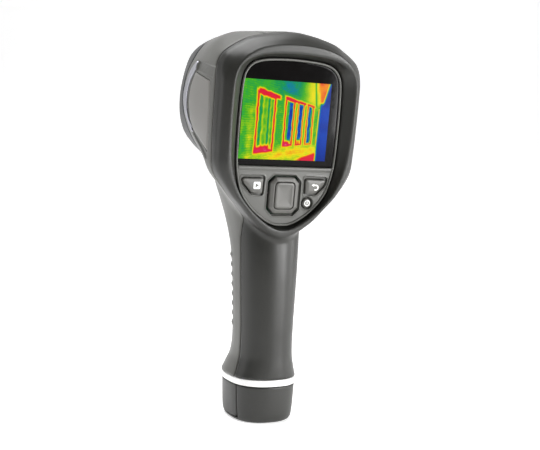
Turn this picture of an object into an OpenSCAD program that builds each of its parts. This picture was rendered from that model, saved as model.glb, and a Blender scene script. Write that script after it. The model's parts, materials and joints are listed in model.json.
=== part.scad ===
// Pistol-grip thermal imaging camera.
// Upright on the foot of its battery: +Z up along the handle, lens towards +Y,
// display towards -Y. Origin at the middle of the handle, on the underside of the foot.

/* [Shells] */
// Wall thickness of the housings
wall = 2.2; // [1.8:0.1:2.4]
// Points along each outline segment, finer is smoother
steps = 2; // [1:1:2]
// Gap left between neighbouring pieces
gap = 0.3; // [0.25:0.05:0.35]

/* [Handle] */
// Height of the battery foot
foot_h = 23.4; // [23:0.1:24]
// Top of the pale ring
ring_top = 28; // [27:0.1:28.5]
// Number of finger ribs
ribs = 8; // [4:1:9]

/* [Display] */
// Lean of the display towards the user, degrees
tau = 6.33; // [6:0.01:6.6]
// Width of the lit part of the display
lcd_w = 59.4; // [56:0.1:60]
// Height of the lit part of the display
lcd_h = 47.2; // [44:0.1:48]

/* [Keys] */
// Travel of the small keys
key_travel = 0.8; // [0.4:0.1:0.8]
// Radius of the power key
power_r = 3; // [2.6:0.1:3.2]

/* [Lens] */
// Rise of the lens axis, degrees
rise = 12; // [12:1:12]
// Radius of the infrared window
window_r = 9; // [8:0.1:9.2]
// Height of the lens axis above the barrel line
lens_up = -2; // [-2.2:0.1:-1.8]

/* [Battery] */
// Radius of the rounded sides of the battery stick
cell_r = 12.6; // [12:0.1:12.6]
// Top of the battery stick
cell_top = 104; // [98:1:104]

/* [Hidden] */
$fn = 48;

dark = "#4a4a46"; grey = "#8c8c88"; light = "#a09d99"; black = "#2c2c2c"; silver = "#d8d8d4";

// ---------- curves and lofts ----------
function cr(a, b, c, d, t) = 0.5 * (2 * b + (c - a) * t + (2 * a - 5 * b + 4 * c - d) * t * t + (3 * b - a - 3 * c + d) * t * t * t);
function flip(p) = [-p[0], p[1]];
// a smooth half outline, from the top middle round the right to the bottom middle
function half(P, k) = let (n = len(P)) [for (i = [0:n - 2]) for (j = [0:k - 1])
    cr(i == 0 ? flip(P[1]) : P[i - 1], P[i], P[i + 1], i == n - 2 ? flip(P[n - 2]) : P[i + 2], j / k), P[n - 1]];
function full(P, k) = let (h = half(P, k), n = len(h)) concat(h, [for (i = [n - 2:-1:1]) flip(h[i])]);
// moves a closed outline inwards
function inset(O, d) = let (n = len(O)) [for (i = [0:n - 1]) let (a = O[(i + n - 1) % n], b = O[(i + 1) % n],
    t = b - a, m = norm(t)) O[i] + d * [t[1], -t[0]] / m];
// sets an outline of x and z in a plane that leans by t and crosses z = 190 at y
function lean(O, y, t) = [for (q = O) [q[0], y - (q[1] - 190) * tan(t), q[1]]];
// ring after ring, with shallow cones for ends
function tris(n, m) = concat([for (j = [0:n - 1]) [j, (j + 1) % n, m * n]],
    [for (i = [0:m - 2]) for (j = [0:n - 1]) let (k = (j + 1) % n) [i * n + j, (i + 1) * n + j, (i + 1) * n + k]],
    [for (i = [0:m - 2]) for (j = [0:n - 1]) let (k = (j + 1) % n) [i * n + j, (i + 1) * n + k, i * n + k]],
    [for (j = [0:n - 1]) [(m - 1) * n + (j + 1) % n, (m - 1) * n + j, m * n + 1]]);
function middle(Q) = [for (i = [0:2]) (max([for (q = Q) q[i]]) + min([for (q = Q) q[i]])) / 2];
module loft(R) let (m = len(R), a = middle(R[0]), b = middle(R[m - 1]), d = (b - a) / norm(b - a))
    polyhedron(points = concat([for (r = R) each r], [a + 0.7 * d, b - 0.7 * d]), faces = tris(len(R[0]), m), convexity = 6);
// one clean mesh at its own size
module solidmesh() resize([0, 0, 0]) children();

// ---------- head outlines: x and z, from the top middle down to the bottom middle ----------
C0 = [[0,233],[14,232.2],[25,229.8],[31,227],[35.4,223.6],[39,218.4],[41.2,212],[42,202],[42.2,188],[41.9,172],[40.8,157.6],[34.8,144.8],[28,136.6],[16.8,126],[0,117.5]];
M1 = [[0,238.2],[14,236.9],[26,233.8],[32.8,230.4],[38.6,226.5],[43,221.4],[45.6,213.6],[46,203],[46,188],[45.6,171],[44.2,157],[36.4,144.2],[28.8,135.8],[17.4,124.5],[0,115.5]];
M2 = [[0,241.2],[14,239.7],[27,236.5],[33.8,233],[40,229.2],[44.8,224.8],[47.4,217.6],[47.5,205],[47.4,189],[47,171],[45.4,157.6],[36.6,144.6],[28.8,136],[17.4,124.5],[0,114]];
S0 = [[0,242.8],[14,241.4],[28,238],[35,234.6],[41,230.8],[45.6,226.2],[48,219],[47.9,206],[47.7,189],[47,171],[45.2,157.4],[36.4,146],[28.8,137.8],[18,127],[0,115]];
F1 = [[0,244],[14,243.8],[27,242.6],[34.4,239.5],[39.6,235],[43.6,228.8],[46.8,218.6],[47.5,205.5],[46.8,190],[44.4,175.5],[40.8,168],[35.2,159.6],[29.8,153],[19.6,144],[0,137]];
S3 = [[0,243.8],[14,243.6],[25,242.2],[32,239],[36.4,234.4],[40.2,228.2],[44.2,218.6],[45.6,206],[44,194],[40.8,186],[37.2,179.4],[32.2,172.5],[26.4,166.5],[16.6,160.5],[0,157]];
B1 = [[0,243],[14,242.6],[25,241],[31.5,237.8],[36,233.6],[39.2,227.8],[41.8,218],[43,206],[42,195],[39.6,187],[36.4,180.4],[31,174],[25,168.8],[15.7,163.8],[0,161]];
B2 = [[0,240.5],[12,240],[22,238.2],[27.6,235],[31.6,230.6],[34.2,225],[36,216.5],[36.7,206],[36,196],[34.2,188.6],[31,182.4],[26.8,177],[21.2,172.6],[13,168.6],[0,166.5]];
B3 = [[0,237.5],[11,237],[19.4,235.2],[24.4,232],[28.2,227.8],[30.8,222.6],[32.5,215],[33.1,206],[32.4,197],[30.4,190.4],[27.4,184.8],[23.6,180],[18.2,176],[11,172.6],[0,171]];
B4 = [[0,233.5],[10,233],[17,231.4],[21.4,228.6],[25,225],[27.4,220.4],[28.8,214],[29.3,206],[28.7,198.6],[27,192.8],[24.2,188],[20.4,184],[15.6,180.6],[9,178],[0,177]];
// outline, y at z = 190, lean
HEAD = [[C0, -33.8, 7.6], [M1, -29.5, 6.5], [M2, -25, 6.33], [S0, -17, 6.4], [F1, 9, 9], [S3, 38, 12]];
NOSE = [[S3, 38.5, 12], [B1, 50, 12], [B2, 66, 12], [B3, 75, 12], [B4, 79, 12]];
module head(d = 0, a = 0, b = 5, y0 = 0, y1 = 0) loft([for (i = [a:b]) let (s = HEAD[i])
    lean(inset(full(s[0], steps), d), s[1] + (i == a ? y0 : 0) + (i == b ? y1 : 0), s[2])]);
module nose(d = 0, y0 = 0, y1 = 0) loft([for (i = [0:4]) let (s = NOSE[i])
    lean(inset(full(s[0], steps), d), s[1] + (i == 0 ? y0 : 0) + (i == 4 ? y1 : 0), s[2])]);

// ---------- handle: z, half width, rear y, front y ----------
GRIP = [[ring_top, 21.7, -22, 33.4], [34, 19.8, -22, 29.6], [42, 18, -21.8, 24], [50, 17.6, -21.8, 21.8], [60, 17.7, -22, 21.2], [75, 18.3, -22, 21],
    [90, 19, -22, 22], [107, 19.8, -21.5, 25], [118, 20.6, -20.5, 30], [128, 22.2, -19, 34.7], [140, 25.4, -17, 39.2], [150, 28.5, -14, 41.9], [160, 29.7, -10, 43.3], [168, 30, -8, 43]];
function pw(v, e) = sign(v) * pow(abs(v), e);
function oval(z, a, r, f, d, n = 40) = let (c = (r + f) / 2 * 0.4) [for (i = [0:n - 1]) let (u = 360 * i / n, s = sin(u))
    [(a - d) * pw(cos(u), 0.84), c + (s > 0 ? f - d - c : c - r - d) * pw(s, 0.84), z]];
module stack(R) polyhedron(points = [for (r = R) each r], faces = let (n = len(R[0]), m = len(R)) concat([[for (j = [0:n - 1]) j]],
    [for (i = [0:m - 2]) for (j = [0:n - 1]) let (k = (j + 1) % n) [i * n + j, (i + 1) * n + j, (i + 1) * n + k]],
    [for (i = [0:m - 2]) for (j = [0:n - 1]) let (k = (j + 1) % n) [i * n + j, (i + 1) * n + k, i * n + k]],
    [[for (j = [n - 1:-1:0]) (m - 1) * n + j]]), convexity = 4);
module grip(d = 0, dz = 0) stack([for (i = [0:len(GRIP) - 1]) let (g = GRIP[i]) oval(g[0] + (i == 0 ? dz : 0) - (i == len(GRIP) - 1 ? dz : 0), g[1], g[2], g[3], d)]);
FOOT = [[0, 17.4, -17.2, 28.4], [1, 18.8, -18.8, 30], [3, 19.6, -20, 31], [10, 20.3, -21, 31.6], [foot_h, 21, -21.8, 31.8]];
module footform(d = 0, z0 = 0, z1 = 0) stack([for (i = [0:4]) let (g = FOOT[i]) oval(g[0] + (i == 0 ? z0 : 0) + (i == 4 ? z1 : 0), g[1], g[2], g[3], d, 48)]);

// ---------- frames ----------
// x across, y into the camera, z up the pane
module pane() translate([0, -27.1, 185]) rotate([tau, 0, 0]) children();
// y along the lens axis
module barrel() translate([0, 0, 195]) rotate([rise, 0, 0]) children();
// a solid of constant section across the camera, from an outline of y and z
module across(P, w, e = 0) rotate([90, 0, 90]) linear_extrude(height = w, center = true) offset(delta = e) polygon(P);
// a plate of outline x and w, between depths y0 and y1
module plate(P, y0, y1) translate([0, y1, 0]) rotate([90, 0, 0]) linear_extrude(height = y1 - y0) polygon(P);
module rod(r, y0, y1) translate([0, y1, 0]) rotate([90, 0, 0]) cylinder(r = r, h = y1 - y0);
// a rounded rectangle as an outline of points
function rrect(cx, cy, w, h, c) = [[cx - w/2 + c, cy - h/2], [cx + w/2 - c, cy - h/2], [cx + w/2, cy - h/2 + c], [cx + w/2, cy + h/2 - c],
    [cx + w/2 - c, cy + h/2], [cx - w/2 + c, cy + h/2], [cx - w/2, cy + h/2 - c], [cx - w/2, cy - h/2 + c]];

// ---------- regions ----------
// everything behind the parting line of the two housings
module behind(e = 0) across([[-60, 20], [-5 + e, 20], [-5 + e, 116], [-7 + e, 124], [-11 + e, 132], [-14.3 + e, 138.5], [-20 + e, 190], [-26.7 + e, 250], [-60, 250]], 120);
module ahead(e = 0) across([[-5 + e, 20], [60, 20], [60, 165], [46.6, 160], [26.5, 255], [-27.2 + e, 255], [-20 + e, 190], [-14.3 + e, 138.5], [-11 + e, 132], [-7 + e, 124], [-5 + e, 116]], 120);

// ---------- display pane ----------
PANE = [[0,41.2],[12,40.8],[22,39.6],[28.5,36.8],[32.4,31.8],[33.9,25],[34.5,12],[34.6,-4],[34.3,-18],[33.4,-27],[31,-37],[27.8,-43.6],[21.6,-51],[13,-57.6],[5.5,-60.9],[0,-61.4]];
RIM = [[0,43.8],[12.5,43.3],[23,42],[30.5,39.6],[36,36],[39.4,30.6],[40.6,20],[40.8,2],[40.3,-12],[39.2,-22],[36.6,-31],[32.4,-39.5],[25.4,-48],[15.6,-56.4],[6.6,-61.8],[0,-63.4]];
pane_o = full(PANE, 3);
function at(O, y) = [for (q = O) [q[0], y, q[1]]];
glass_low = -24;

module rear_housing() color(dark) solidmesh() difference() {
    union() {
        intersection() {
            behind();
            difference() {
                union() { head(0, 0, 5); grip(); }
                head(wall, 2, 5, 0.83, 2.3);
                grip(wall, -2);
            }
        }
        // shelf bosses that take the long screws
        for (s = [-1, 1], h = SCREWS) intersection() {
            behind();
            translate([s * h[0], -13, h[1]]) rotate([90, 0, 0]) cylinder(r = 3, h = h[2] - 10.5, $fn = 16);
        }
    }
    // the recess over the display and keys
    pane() loft([at(full(RIM, 2), -7.4), at(full(RIM, 2), -6), at(full([for (p = PANE) p * 1.02], 2), -0.5), at(full([for (p = PANE) p * 1.008], 2), 2.2)]);
    pane() plate(inset(pane_o, 1.4), -1, 5);
    for (s = [-1, 1], h = SCREWS) translate([s * h[0], -11, h[1]]) rotate([90, 0, 0]) cylinder(r = 1.5, h = h[2] - 10.3, $fn = 16);
}

// long screws: x, z, length under the head
SCREWS = [[33.2, 226.5, 26.5], [38.5, 170, 23]];
module usb_gap() translate([-17.6, -28, 234]) cube([35.2, 33.2, 20]);

PANEL = [[-14.3, 210.6], [13.3, 217.4], [20.2, 208.9], [23.8, 199.6], [23.2, 188.4], [18.6, 181.6], [-10.6, 168.3], [-12.9, 179], [-15, 195]];
STRIP = [[15.1, 224.6], [24.9, 219.3], [31.6, 209.3], [34.6, 199.9], [33.1, 191.2], [27.7, 184.2], [22.4, 180.4], [20.6, 182], [25.2, 188], [27.6, 196.3], [26, 204.8], [20.9, 213.1], [13.5, 219.5]];
module skin(o, d) difference() { head(-o, 3, 5); head(d, 3, 5, -3, 3); }
module on_side(s, P, e = 0) intersection() { children(); translate([s * 40, 0, 0]) across(P, 50, e); }
module front_housing() color(grey) solidmesh() difference() {
    union() {
        intersection() {
            ahead(gap);
            difference() {
                union() { head(0, 2, 5); grip(); ribs_on(); }
                head(wall, 2, 5, 0.1, 2.3);
                grip(wall, -2);
            }
        }
        for (s = [-1, 1], h = SCREWS) intersection() {
            ahead(gap);
            translate([s * h[0], 2, h[1]]) rotate([90, 0, 0]) cylinder(r = 3, h = 20, $fn = 16);
        }
    }
    for (s = [-1, 1]) {
        on_side(s, PANEL, 0.25) skin(1, 1.3);
        on_side(s, STRIP, 0.25) skin(1, 1.1);
    }
    for (s = [-1, 1], h = SCREWS) translate([s * h[0], 4, h[1]]) rotate([90, 0, 0]) cylinder(r = 1.5, h = 26, $fn = 16);
    usb_gap();
    // slot for the trigger
    across([[22.4, 117.5], [50, 117.5], [50, 143], [22.4, 143]], 14);
    translate([-9.4, 20, 131.6]) cube([18.8, 12.4, 9.8]);
}
module ribs_on() for (i = [0:ribs - 1]) translate([0, 20.2 + 0.055 * pow(abs(i - 2.4), 2.1), 60 + 6.2 * i]) rotate([0, 90, 0]) cylinder(r = 1.7, h = 20, center = true, $fn = 16);

module side_panel(s) solidmesh() on_side(s, PANEL) skin(0.25, 1);
module side_panel_left() color(light) side_panel(-1);
module side_panel_right() color(light) side_panel(1);
module trim_strip(s) solidmesh() on_side(s, STRIP) skin(0.35, 0.8);
module trim_strip_left() color(silver) trim_strip(-1);
module trim_strip_right() color(silver) trim_strip(1);

module front_bumper() color(black) solidmesh() difference() {
    nose();
    nose(3, -2, 1.3);
    // mouth of the nose
    barrel() plate(full(MOUTH, 1), 66, 92);
}

// ---------- nose and lens ----------
MOUTH = [[0,21],[10,20.6],[16.4,19],[20.4,16.2],[23.6,12.6],[25.8,8],[27,1.6],[27.4,-5.6],[26.8,-12.6],[25.2,-18.4],[22.6,-23.2],[18.8,-27.2],[13.8,-30.4],[8,-32.2],[0,-32.8]];
NP = [[0,26],[10,25.4],[17.6,23.4],[23.4,19.4],[27.6,13.4],[29.8,5],[30.3,-4],[29.2,-14],[26.6,-22],[22.6,-28.4],[16.8,-33.4],[9,-36.4],[0,-37.2]];
cam_up = 14.5;
module nose_plate() color(black) barrel() difference() {
    plate(full(NP, 3), 67.4, 69.9);
    translate([0, 0, lens_up]) rod(window_r, 60, 75);
    translate([0, 0, cam_up]) rod(4.2, 60, 75);
    // slot for the cover lever
    translate([-18.4, 60, -23.2]) cube([4.8, 15, 26.6]);
}
module camera_window() color("#203040") barrel() translate([0, 0, cam_up]) rod(4, 68.2, 69.4);
module visible_camera() color(black) barrel() translate([0, 0, cam_up]) {
    translate([-4.5, 56, -3.6]) cube([9, 8, 9]);
    rod(3.4, 64, 66.8);
}
module lens_cover() color("#3c3c3c") barrel() translate([0, 0, lens_up - 20.5]) {
    translate([-19.2, 65.2, -10]) cube([30.2, 1.5, 20]);
    translate([-17.8, 66.7, 0]) cube([3.6, 5.4, 4.6]);
    for (k = [0:2]) translate([-18.6, 71.2, 0.4 + 1.4 * k]) cube([5.2, 1.6, 0.9]);
}
module lens_barrel() color("#b8bcc0") barrel() translate([0, 0, lens_up]) difference() {
    union() { rod(12.6, 38, 64.6); rod(15, 38, 41); }
    rod(9, 37, 58); rod(10.8, 58, 65);
}
module infrared_lens() color("#3a3440") barrel() translate([0, 58.2, lens_up]) rotate([-90, 0, 0])
    rotate_extrude() polygon([[0, 0], [10.6, 0], [10.6, 2.2], for (i = [0:6]) [10.6 * cos(15 * i), 2.2 + 1.9 * sin(15 * i)]]);
module lens_ring() color("#55585c") barrel() translate([0, 0, lens_up]) difference() { rod(10.6, 63.4, 64.6); rod(9.2, 62, 66);
    for (a = [0, 90]) rotate([0, a, 0]) translate([-12, 64.1, -0.5]) cube([24, 1, 1]); }
module sensor_core() color("#6a6c70") barrel() translate([0, 0, lens_up]) {
    translate([-12, 22.4, -12]) cube([24, 8, 24]);
    translate([-8, 30.4, -8]) cube([16, 2.4, 16]);
}
module sensor_board() color("#1f5a34") barrel() translate([-23, 20.4, lens_up - 20]) cube([46, 1.6, 40]);
module flag_motor() color("#8a8a8a") barrel() translate([17, 0, lens_up]) { rod(4, 23, 33.6); rod(0.8, 33.6, 36.6); }
module calibration_flag() color("#202020") barrel() translate([17, 0, lens_up]) difference() {
    union() { rod(2.4, 34.2, 35); translate([-2.5, 34.2, 0]) cube([5, 0.8, 12]); translate([0, 0, 18]) rod(9.2, 34.2, 35); }
    rod(1.1, 33, 36.8);
}
module main_board() color("#1f5a34") pane() difference() {
    translate([-34, 9.5, -40]) cube([68, 1.6, 76]);
    for (s = [-1, 1]) translate([s * 30, 0, 32]) rod(1.6, 9, 12);
}
module board_shields() color("#b0b4b8") pane() { translate([-26, 11.1, -6]) cube([30, 3, 26]); translate([8, 11.1, -20]) cube([18, 2.4, 18]); }

// ---------- display and keys ----------
module display_window() color([0.1, 0.1, 0.12, 0.5]) pane() intersection() {
    plate(inset(pane_o, 0.5), 0, 1.8);
    translate([-50, -1, glass_low]) cube([100, 4, 100]);
}
module lcd_panel() color("#285c90") pane() difference() {
    translate([-35.5, 5.5, -24.8]) cube([67, 3, 56]);
}
module display_gasket() color("#303030") pane() difference() {
    translate([-34.5, 5.05, -23.6]) cube([65, 0.4, 53.6]);
    translate([-33.1, 4, -20.5]) cube([60.4, 3, 48.4]);
}
RECESS_L = [[-28.2,-30.6],[-15,-30.6],[-13.8,-31.8],[-13.8,-40.4],[-15.2,-41.8],[-22.4,-41.8],[-28.8,-35.4],[-28.8,-31.4]];
RECESS_N = rrect(0.2, -42, 23.6, 26.4, 5);
module keypad_plate() color(grey) pane() difference() {
    intersection() {
        plate(inset(pane_o, 0.5), 0, 2.2);
        translate([-50, -1, -80]) cube([100, 5, 80 + glass_low - 0.3]);
    }
    for (m = [0, 1]) mirror([m, 0, 0]) { plate(RECESS_L, -1, 1.3); plate(KEY_HOLE, -1, 3); }
    plate(RECESS_N, -1, 1.3);
    plate(rrect(0.2, -42, 21, 24, 4.6), -1, 3);
    translate([16.8, 0, -46.6]) { rod(power_r + 1, -1, 1.3); rod(power_r + 0.35, -1, 3); }
}
KEY_L = [[-27,-31.9],[-15.8,-31.9],[-15.1,-32.6],[-15.1,-39.8],[-15.8,-40.5],[-21.9,-40.5],[-27.5,-34.9],[-27.5,-32.4]];
KEY_HOLE = [[-27.4,-31.5],[-15.6,-31.5],[-14.7,-32.4],[-14.7,-40],[-15.6,-40.9],[-22.1,-40.9],[-27.9,-35.1],[-27.9,-32]];
KEY_LF = [[-28.6,-30.6],[-13.8,-30.6],[-13.8,-41.8],[-22.5,-41.8],[-28.6,-35.7]];
module key(P, F) pane() { plate(P, -1.1, 2.6); plate(F, 2.55, 3.1); }
module archive_button() color(grey) key(KEY_L, KEY_LF);
module back_button() color(grey) key([for (p = KEY_L) [-p[0], p[1]]], [for (p = KEY_LF) [-p[0], p[1]]]);
module power_button() color(grey) pane() translate([16.8, 0, -46.6]) { rod(power_r, -0.5, 2.6); rod(power_r + 1, 2.55, 3.1); }
module nav_gimbal() color("#707070") pane() { plate(rrect(0.2, -42, 17, 19, 2), 3.1, 3.7); translate([-9.8, 3.4, -42]) rotate([0, 90, 0]) cylinder(r = 0.3, h = 20); }
module nav_ring() color(grey) pane() difference() { plate(rrect(0.2, -42, 19.6, 22.6, 4.2), -1.5, 2.3); plate(rrect(0.2, -42, 13.8, 17.2, 2.4), -3, 4); }
module nav_key() color(grey) pane() plate(rrect(0.2, -42, 13, 16.4, 2.2), -2.2, 2.1);
module keypad_board() color("#1f5a34") pane() plate([[-27,-27.6],[27,-27.6],[27,-38],[9,-56],[-9,-56],[-27,-38]], 5.4, 6.8);
module key_switches() color("#c8c8c8") pane() {
    for (p = [[-21, -36], [21, -36], [16.8, -45], [0.2, -42]]) translate([p[0] - 2, 4.4, p[1] - 2]) cube([4, 1, 4]);
    for (p = [[0.2, -33.6], [0.2, -50.4], [-8.2, -42], [8.6, -42]]) translate([p[0] - 1, 4.7, p[1] - 1]) cube([2, 0.7, 2]);
}

// ---------- top cover and socket ----------
module usb_cover() color(dark) solidmesh() intersection() {
    difference() { head(0, 0, 5); head(2, 0, 5, -4, 2); }
    ahead(gap);
    translate([-17.3, -28, 234.5]) cube([34.6, 32.9, 20]);
}
module usb_socket() color("#c0c4c8") difference() {
    translate([-4.4, -18, 226]) cube([8.8, 5, 9]);
    translate([-3.5, -17.2, 229]) cube([7, 3.4, 8]);
}
module usb_board() color("#1f5a34") translate([-15, -12.8, 216]) cube([30, 1.6, 18]);

// ---------- trigger ----------
py = 30; pz = 138;
module trigger() color(dark) difference() {
    across([[27.4, 140.6], [35.6, 141.6], [41.4, 137.4], [44.8, 129.4], [42.6, 127], [38.6, 121.6], [33.6, 119.2], [30.6, 121.6], [28, 130]], 13);
    translate([0, py, pz]) rotate([0, 90, 0]) cylinder(r = 1.6, h = 30, center = true);
}
module trigger_pin() color("#c0c4c8") translate([0, py, pz]) rotate([0, 90, 0]) cylinder(r = 1.5, h = 21, center = true);
module trigger_bracket() color("#707070") difference() {
    union() { for (s = [-1, 1]) translate([s * 8.2 - 0.8, 20.6, 132]) cube([1.6, 11.4, 9]); translate([-9, 20.6, 132]) cube([18, 1.4, 9]); }
    translate([0, py, pz]) rotate([0, 90, 0]) cylinder(r = 1.6, h = 30, center = true);
}
function coil(r, w, p, n) = [for (i = [0:12 * n]) let (a = 30 * i) [for (j = [0:5]) let (q = r + w * cos(60 * j)) [q * cos(a), q * sin(a), p * a / 360 + w * sin(60 * j)]]];
module spring(r, w, p, n) stack([for (c = coil(r, w, p, n)) [for (j = [5:-1:0]) c[j]]]);
module trigger_spring() color("#b0b0b0") translate([9.4, py, pz]) rotate([0, 90, 0]) spring(2.2, 0.25, 0.6, 2);
module trigger_switch() color("#303030") { translate([-3, 19.2, 120]) cube([6, 3.6, 6]); translate([0, 27.2, 123]) rotate([90, 0, 0]) cylinder(r = 1.4, h = 4.6); }

// ---------- battery ----------
module stadium(r, z0, z1) translate([0, -0.5, z0]) { for (s = [-1, 1]) translate([0, 4 * s, 0]) cylinder(r = r, h = z1 - z0); translate([-r, -4, 0]) cube([2 * r, 8, z1 - z0]); }
module battery_sleeve() color("#505050") difference() { stadium(cell_r + 1.8, ring_top + gap, 107); stadium(cell_r + 0.5, 20, 140); }
module contact_block() color("#303030") { stadium(cell_r + 1.8, 107.2, 111); for (k = [-1.5:1:1.5]) translate([4 * k, -0.5, 104.9]) cylinder(r = 0.7, h = 3); }
module handle_ring() color("white") solidmesh() difference() {
    stack([oval(foot_h + gap, 21.2, -21.9, 31.9, 0, 48), oval(ring_top - 0.1, 21.4, -22, 32, 0, 48)]);
    stack([oval(foot_h - 1, 21.2, -21.9, 31.8, 2.6, 48), oval(ring_top + 1, 21.4, -22, 32, 2.6, 48)]);
}
module battery_pack() color("#3c4a44") stadium(cell_r, foot_h, cell_top);
module battery_contacts() color("#d4b050") for (k = [-1.5:1:1.5]) translate([4 * k - 1.3, -2.5, cell_top]) cube([2.6, 4, 0.5]);
LB = [-6.5, 19.8, 2.6];
module latch_box(e) translate([-30, LB[0] - e, LB[2] - e]) cube([60, LB[1] - LB[0] + 2 * e, foot_h - LB[2] + 2 * e]);
module battery_foot() color(dark) solidmesh() difference() {
    footform();
    intersection() { latch_box(0.35); difference() { footform(-2, -1, 1); footform(4.4, -1, 2); } }
    for (s = [-1, 1]) {
        translate([s * 18.5, 7, 11]) rotate([0, s * -90, 0]) cylinder(r = 3, h = 7.5, $fn = 16);
        translate([s * 16.6 - 3.4, 1.4, foot_h - 5.3]) cube([6.8, 11.2, 8]);
    }
}
module latch(s) intersection() {
    union() {
        intersection() { latch_box(0); difference() { footform(0, -1, 0); footform(2.4, -2, 2); } }
        translate([s * 17.4 - 1.9, 2, foot_h - 4.5]) cube([3.8, 10, 2.4]);
        translate([s * 16.3 - 0.8, 2, foot_h - 4.5]) cube([1.6, 10, 6.4]);
    }
    translate([s * 30 - 30, -30, -1]) cube([60, 80, 60]);
}
module battery_latch_left() color(dark) solidmesh() latch(-1);
module battery_latch_right() color(dark) solidmesh() latch(1);
module latch_springs() color("#b0b0b0") for (s = [-1, 1]) translate([s * 11.6, 7, 11]) rotate([0, s * 90, 0]) spring(2, 0.3, 1.12, 4);
module housing_screws() color("#c0c4c8") for (s = [-1, 1], h = SCREWS) translate([s * h[0], 4.4, h[1]]) rotate([90, 0, 0]) difference() {
    union() { cylinder(r = 2.5, h = 2); cylinder(r = 1.25, h = 4.4 + h[2]); }
    translate([-0.4, -3, -1]) cube([0.8, 6, 2]);
}

rear_housing();
front_housing();
side_panel_left();
side_panel_right();
trim_strip_left();
trim_strip_right();
front_bumper();
nose_plate();
camera_window();
visible_camera();
lens_cover();
lens_barrel();
infrared_lens();
lens_ring();
sensor_core();
sensor_board();
calibration_flag();
flag_motor();
main_board();
board_shields();
display_window();
lcd_panel();
display_gasket();
keypad_plate();
keypad_board();
key_switches();
archive_button();
back_button();
power_button();
nav_gimbal();
nav_ring();
nav_key();
usb_cover();
usb_socket();
usb_board();
trigger();
trigger_pin();
trigger_bracket();
trigger_spring();
trigger_switch();
battery_sleeve();
contact_block();
handle_ring();
battery_pack();
battery_contacts();
battery_foot();
battery_latch_left();
battery_latch_right();
latch_springs();
housing_screws();
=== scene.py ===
# Looks of a pistol-grip thermal imaging camera, built around its imported CAD frame.
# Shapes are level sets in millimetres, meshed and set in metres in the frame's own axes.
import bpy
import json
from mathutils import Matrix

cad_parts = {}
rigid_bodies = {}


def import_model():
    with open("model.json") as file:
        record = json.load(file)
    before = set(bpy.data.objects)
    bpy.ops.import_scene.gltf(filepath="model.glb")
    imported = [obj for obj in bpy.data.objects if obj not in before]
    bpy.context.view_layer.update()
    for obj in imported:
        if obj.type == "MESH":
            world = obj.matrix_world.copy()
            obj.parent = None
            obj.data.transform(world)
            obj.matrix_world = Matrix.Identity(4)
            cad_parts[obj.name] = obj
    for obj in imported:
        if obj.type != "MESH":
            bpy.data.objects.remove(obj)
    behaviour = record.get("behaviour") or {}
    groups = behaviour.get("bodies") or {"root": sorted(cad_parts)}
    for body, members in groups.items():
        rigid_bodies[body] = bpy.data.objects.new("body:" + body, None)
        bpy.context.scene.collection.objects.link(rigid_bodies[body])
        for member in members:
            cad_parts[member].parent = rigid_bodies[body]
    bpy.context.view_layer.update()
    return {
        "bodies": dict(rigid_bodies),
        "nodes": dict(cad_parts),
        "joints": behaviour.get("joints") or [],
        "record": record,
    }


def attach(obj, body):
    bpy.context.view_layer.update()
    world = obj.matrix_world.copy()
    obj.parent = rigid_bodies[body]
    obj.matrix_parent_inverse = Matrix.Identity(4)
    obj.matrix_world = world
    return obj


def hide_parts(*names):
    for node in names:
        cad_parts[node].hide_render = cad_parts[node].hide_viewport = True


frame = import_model()

import json
import math
import bpy
import numpy as np
import openvdb as vdb
from mathutils import Matrix

NODES = frame["nodes"]
rad = math.radians
F32 = np.float32

# ------------------------------------------------------------------ outlines shared with the CAD source
C0 = [[0,233],[14,232.2],[25,229.8],[31,227],[35.4,223.6],[39,218.4],[41.2,212],[42,202],[42.2,188],[41.9,172],[40.8,157.6],[34.8,144.8],[28,136.6],[16.8,126],[0,117.5]]
M1 = [[0,238.2],[14,236.9],[26,233.8],[32.8,230.4],[38.6,226.5],[43,221.4],[45.6,213.6],[46,203],[46,188],[45.6,171],[44.2,157],[36.4,144.2],[28.8,135.8],[17.4,124.5],[0,115.5]]
M2 = [[0,241.2],[14,239.7],[27,236.5],[33.8,233],[40,229.2],[44.8,224.8],[47.4,217.6],[47.5,205],[47.4,189],[47,171],[45.4,157.6],[36.6,144.6],[28.8,136],[17.4,124.5],[0,114]]
S0 = [[0,242.8],[14,241.4],[28,238],[35,234.6],[41,230.8],[45.6,226.2],[48,219],[47.9,206],[47.7,189],[47,171],[45.2,157.4],[36.4,146],[28.8,137.8],[18,127],[0,115]]
F1 = [[0,244],[14,243.8],[27,242.6],[34.4,239.5],[39.6,235],[43.6,228.8],[46.8,218.6],[47.5,205.5],[46.8,190],[44.4,175.5],[40.8,168],[35.2,159.6],[29.8,153],[19.6,144],[0,137]]
S3 = [[0,243.8],[14,243.6],[25,242.2],[32,239],[36.4,234.4],[40.2,228.2],[44.2,218.6],[45.6,206],[44,194],[40.8,186],[37.2,179.4],[32.2,172.5],[26.4,166.5],[16.6,160.5],[0,157]]
B1 = [[0,243],[14,242.6],[25,241],[31.5,237.8],[36,233.6],[39.2,227.8],[41.8,218],[43,206],[42,195],[39.6,187],[36.4,180.4],[31,174],[25,168.8],[15.7,163.8],[0,161]]
B2 = [[0,240.5],[12,240],[22,238.2],[27.6,235],[31.6,230.6],[34.2,225],[36,216.5],[36.7,206],[36,196],[34.2,188.6],[31,182.4],[26.8,177],[21.2,172.6],[13,168.6],[0,166.5]]
B3 = [[0,237.5],[11,237],[19.4,235.2],[24.4,232],[28.2,227.8],[30.8,222.6],[32.5,215],[33.1,206],[32.4,197],[30.4,190.4],[27.4,184.8],[23.6,180],[18.2,176],[11,172.6],[0,171]]
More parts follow.
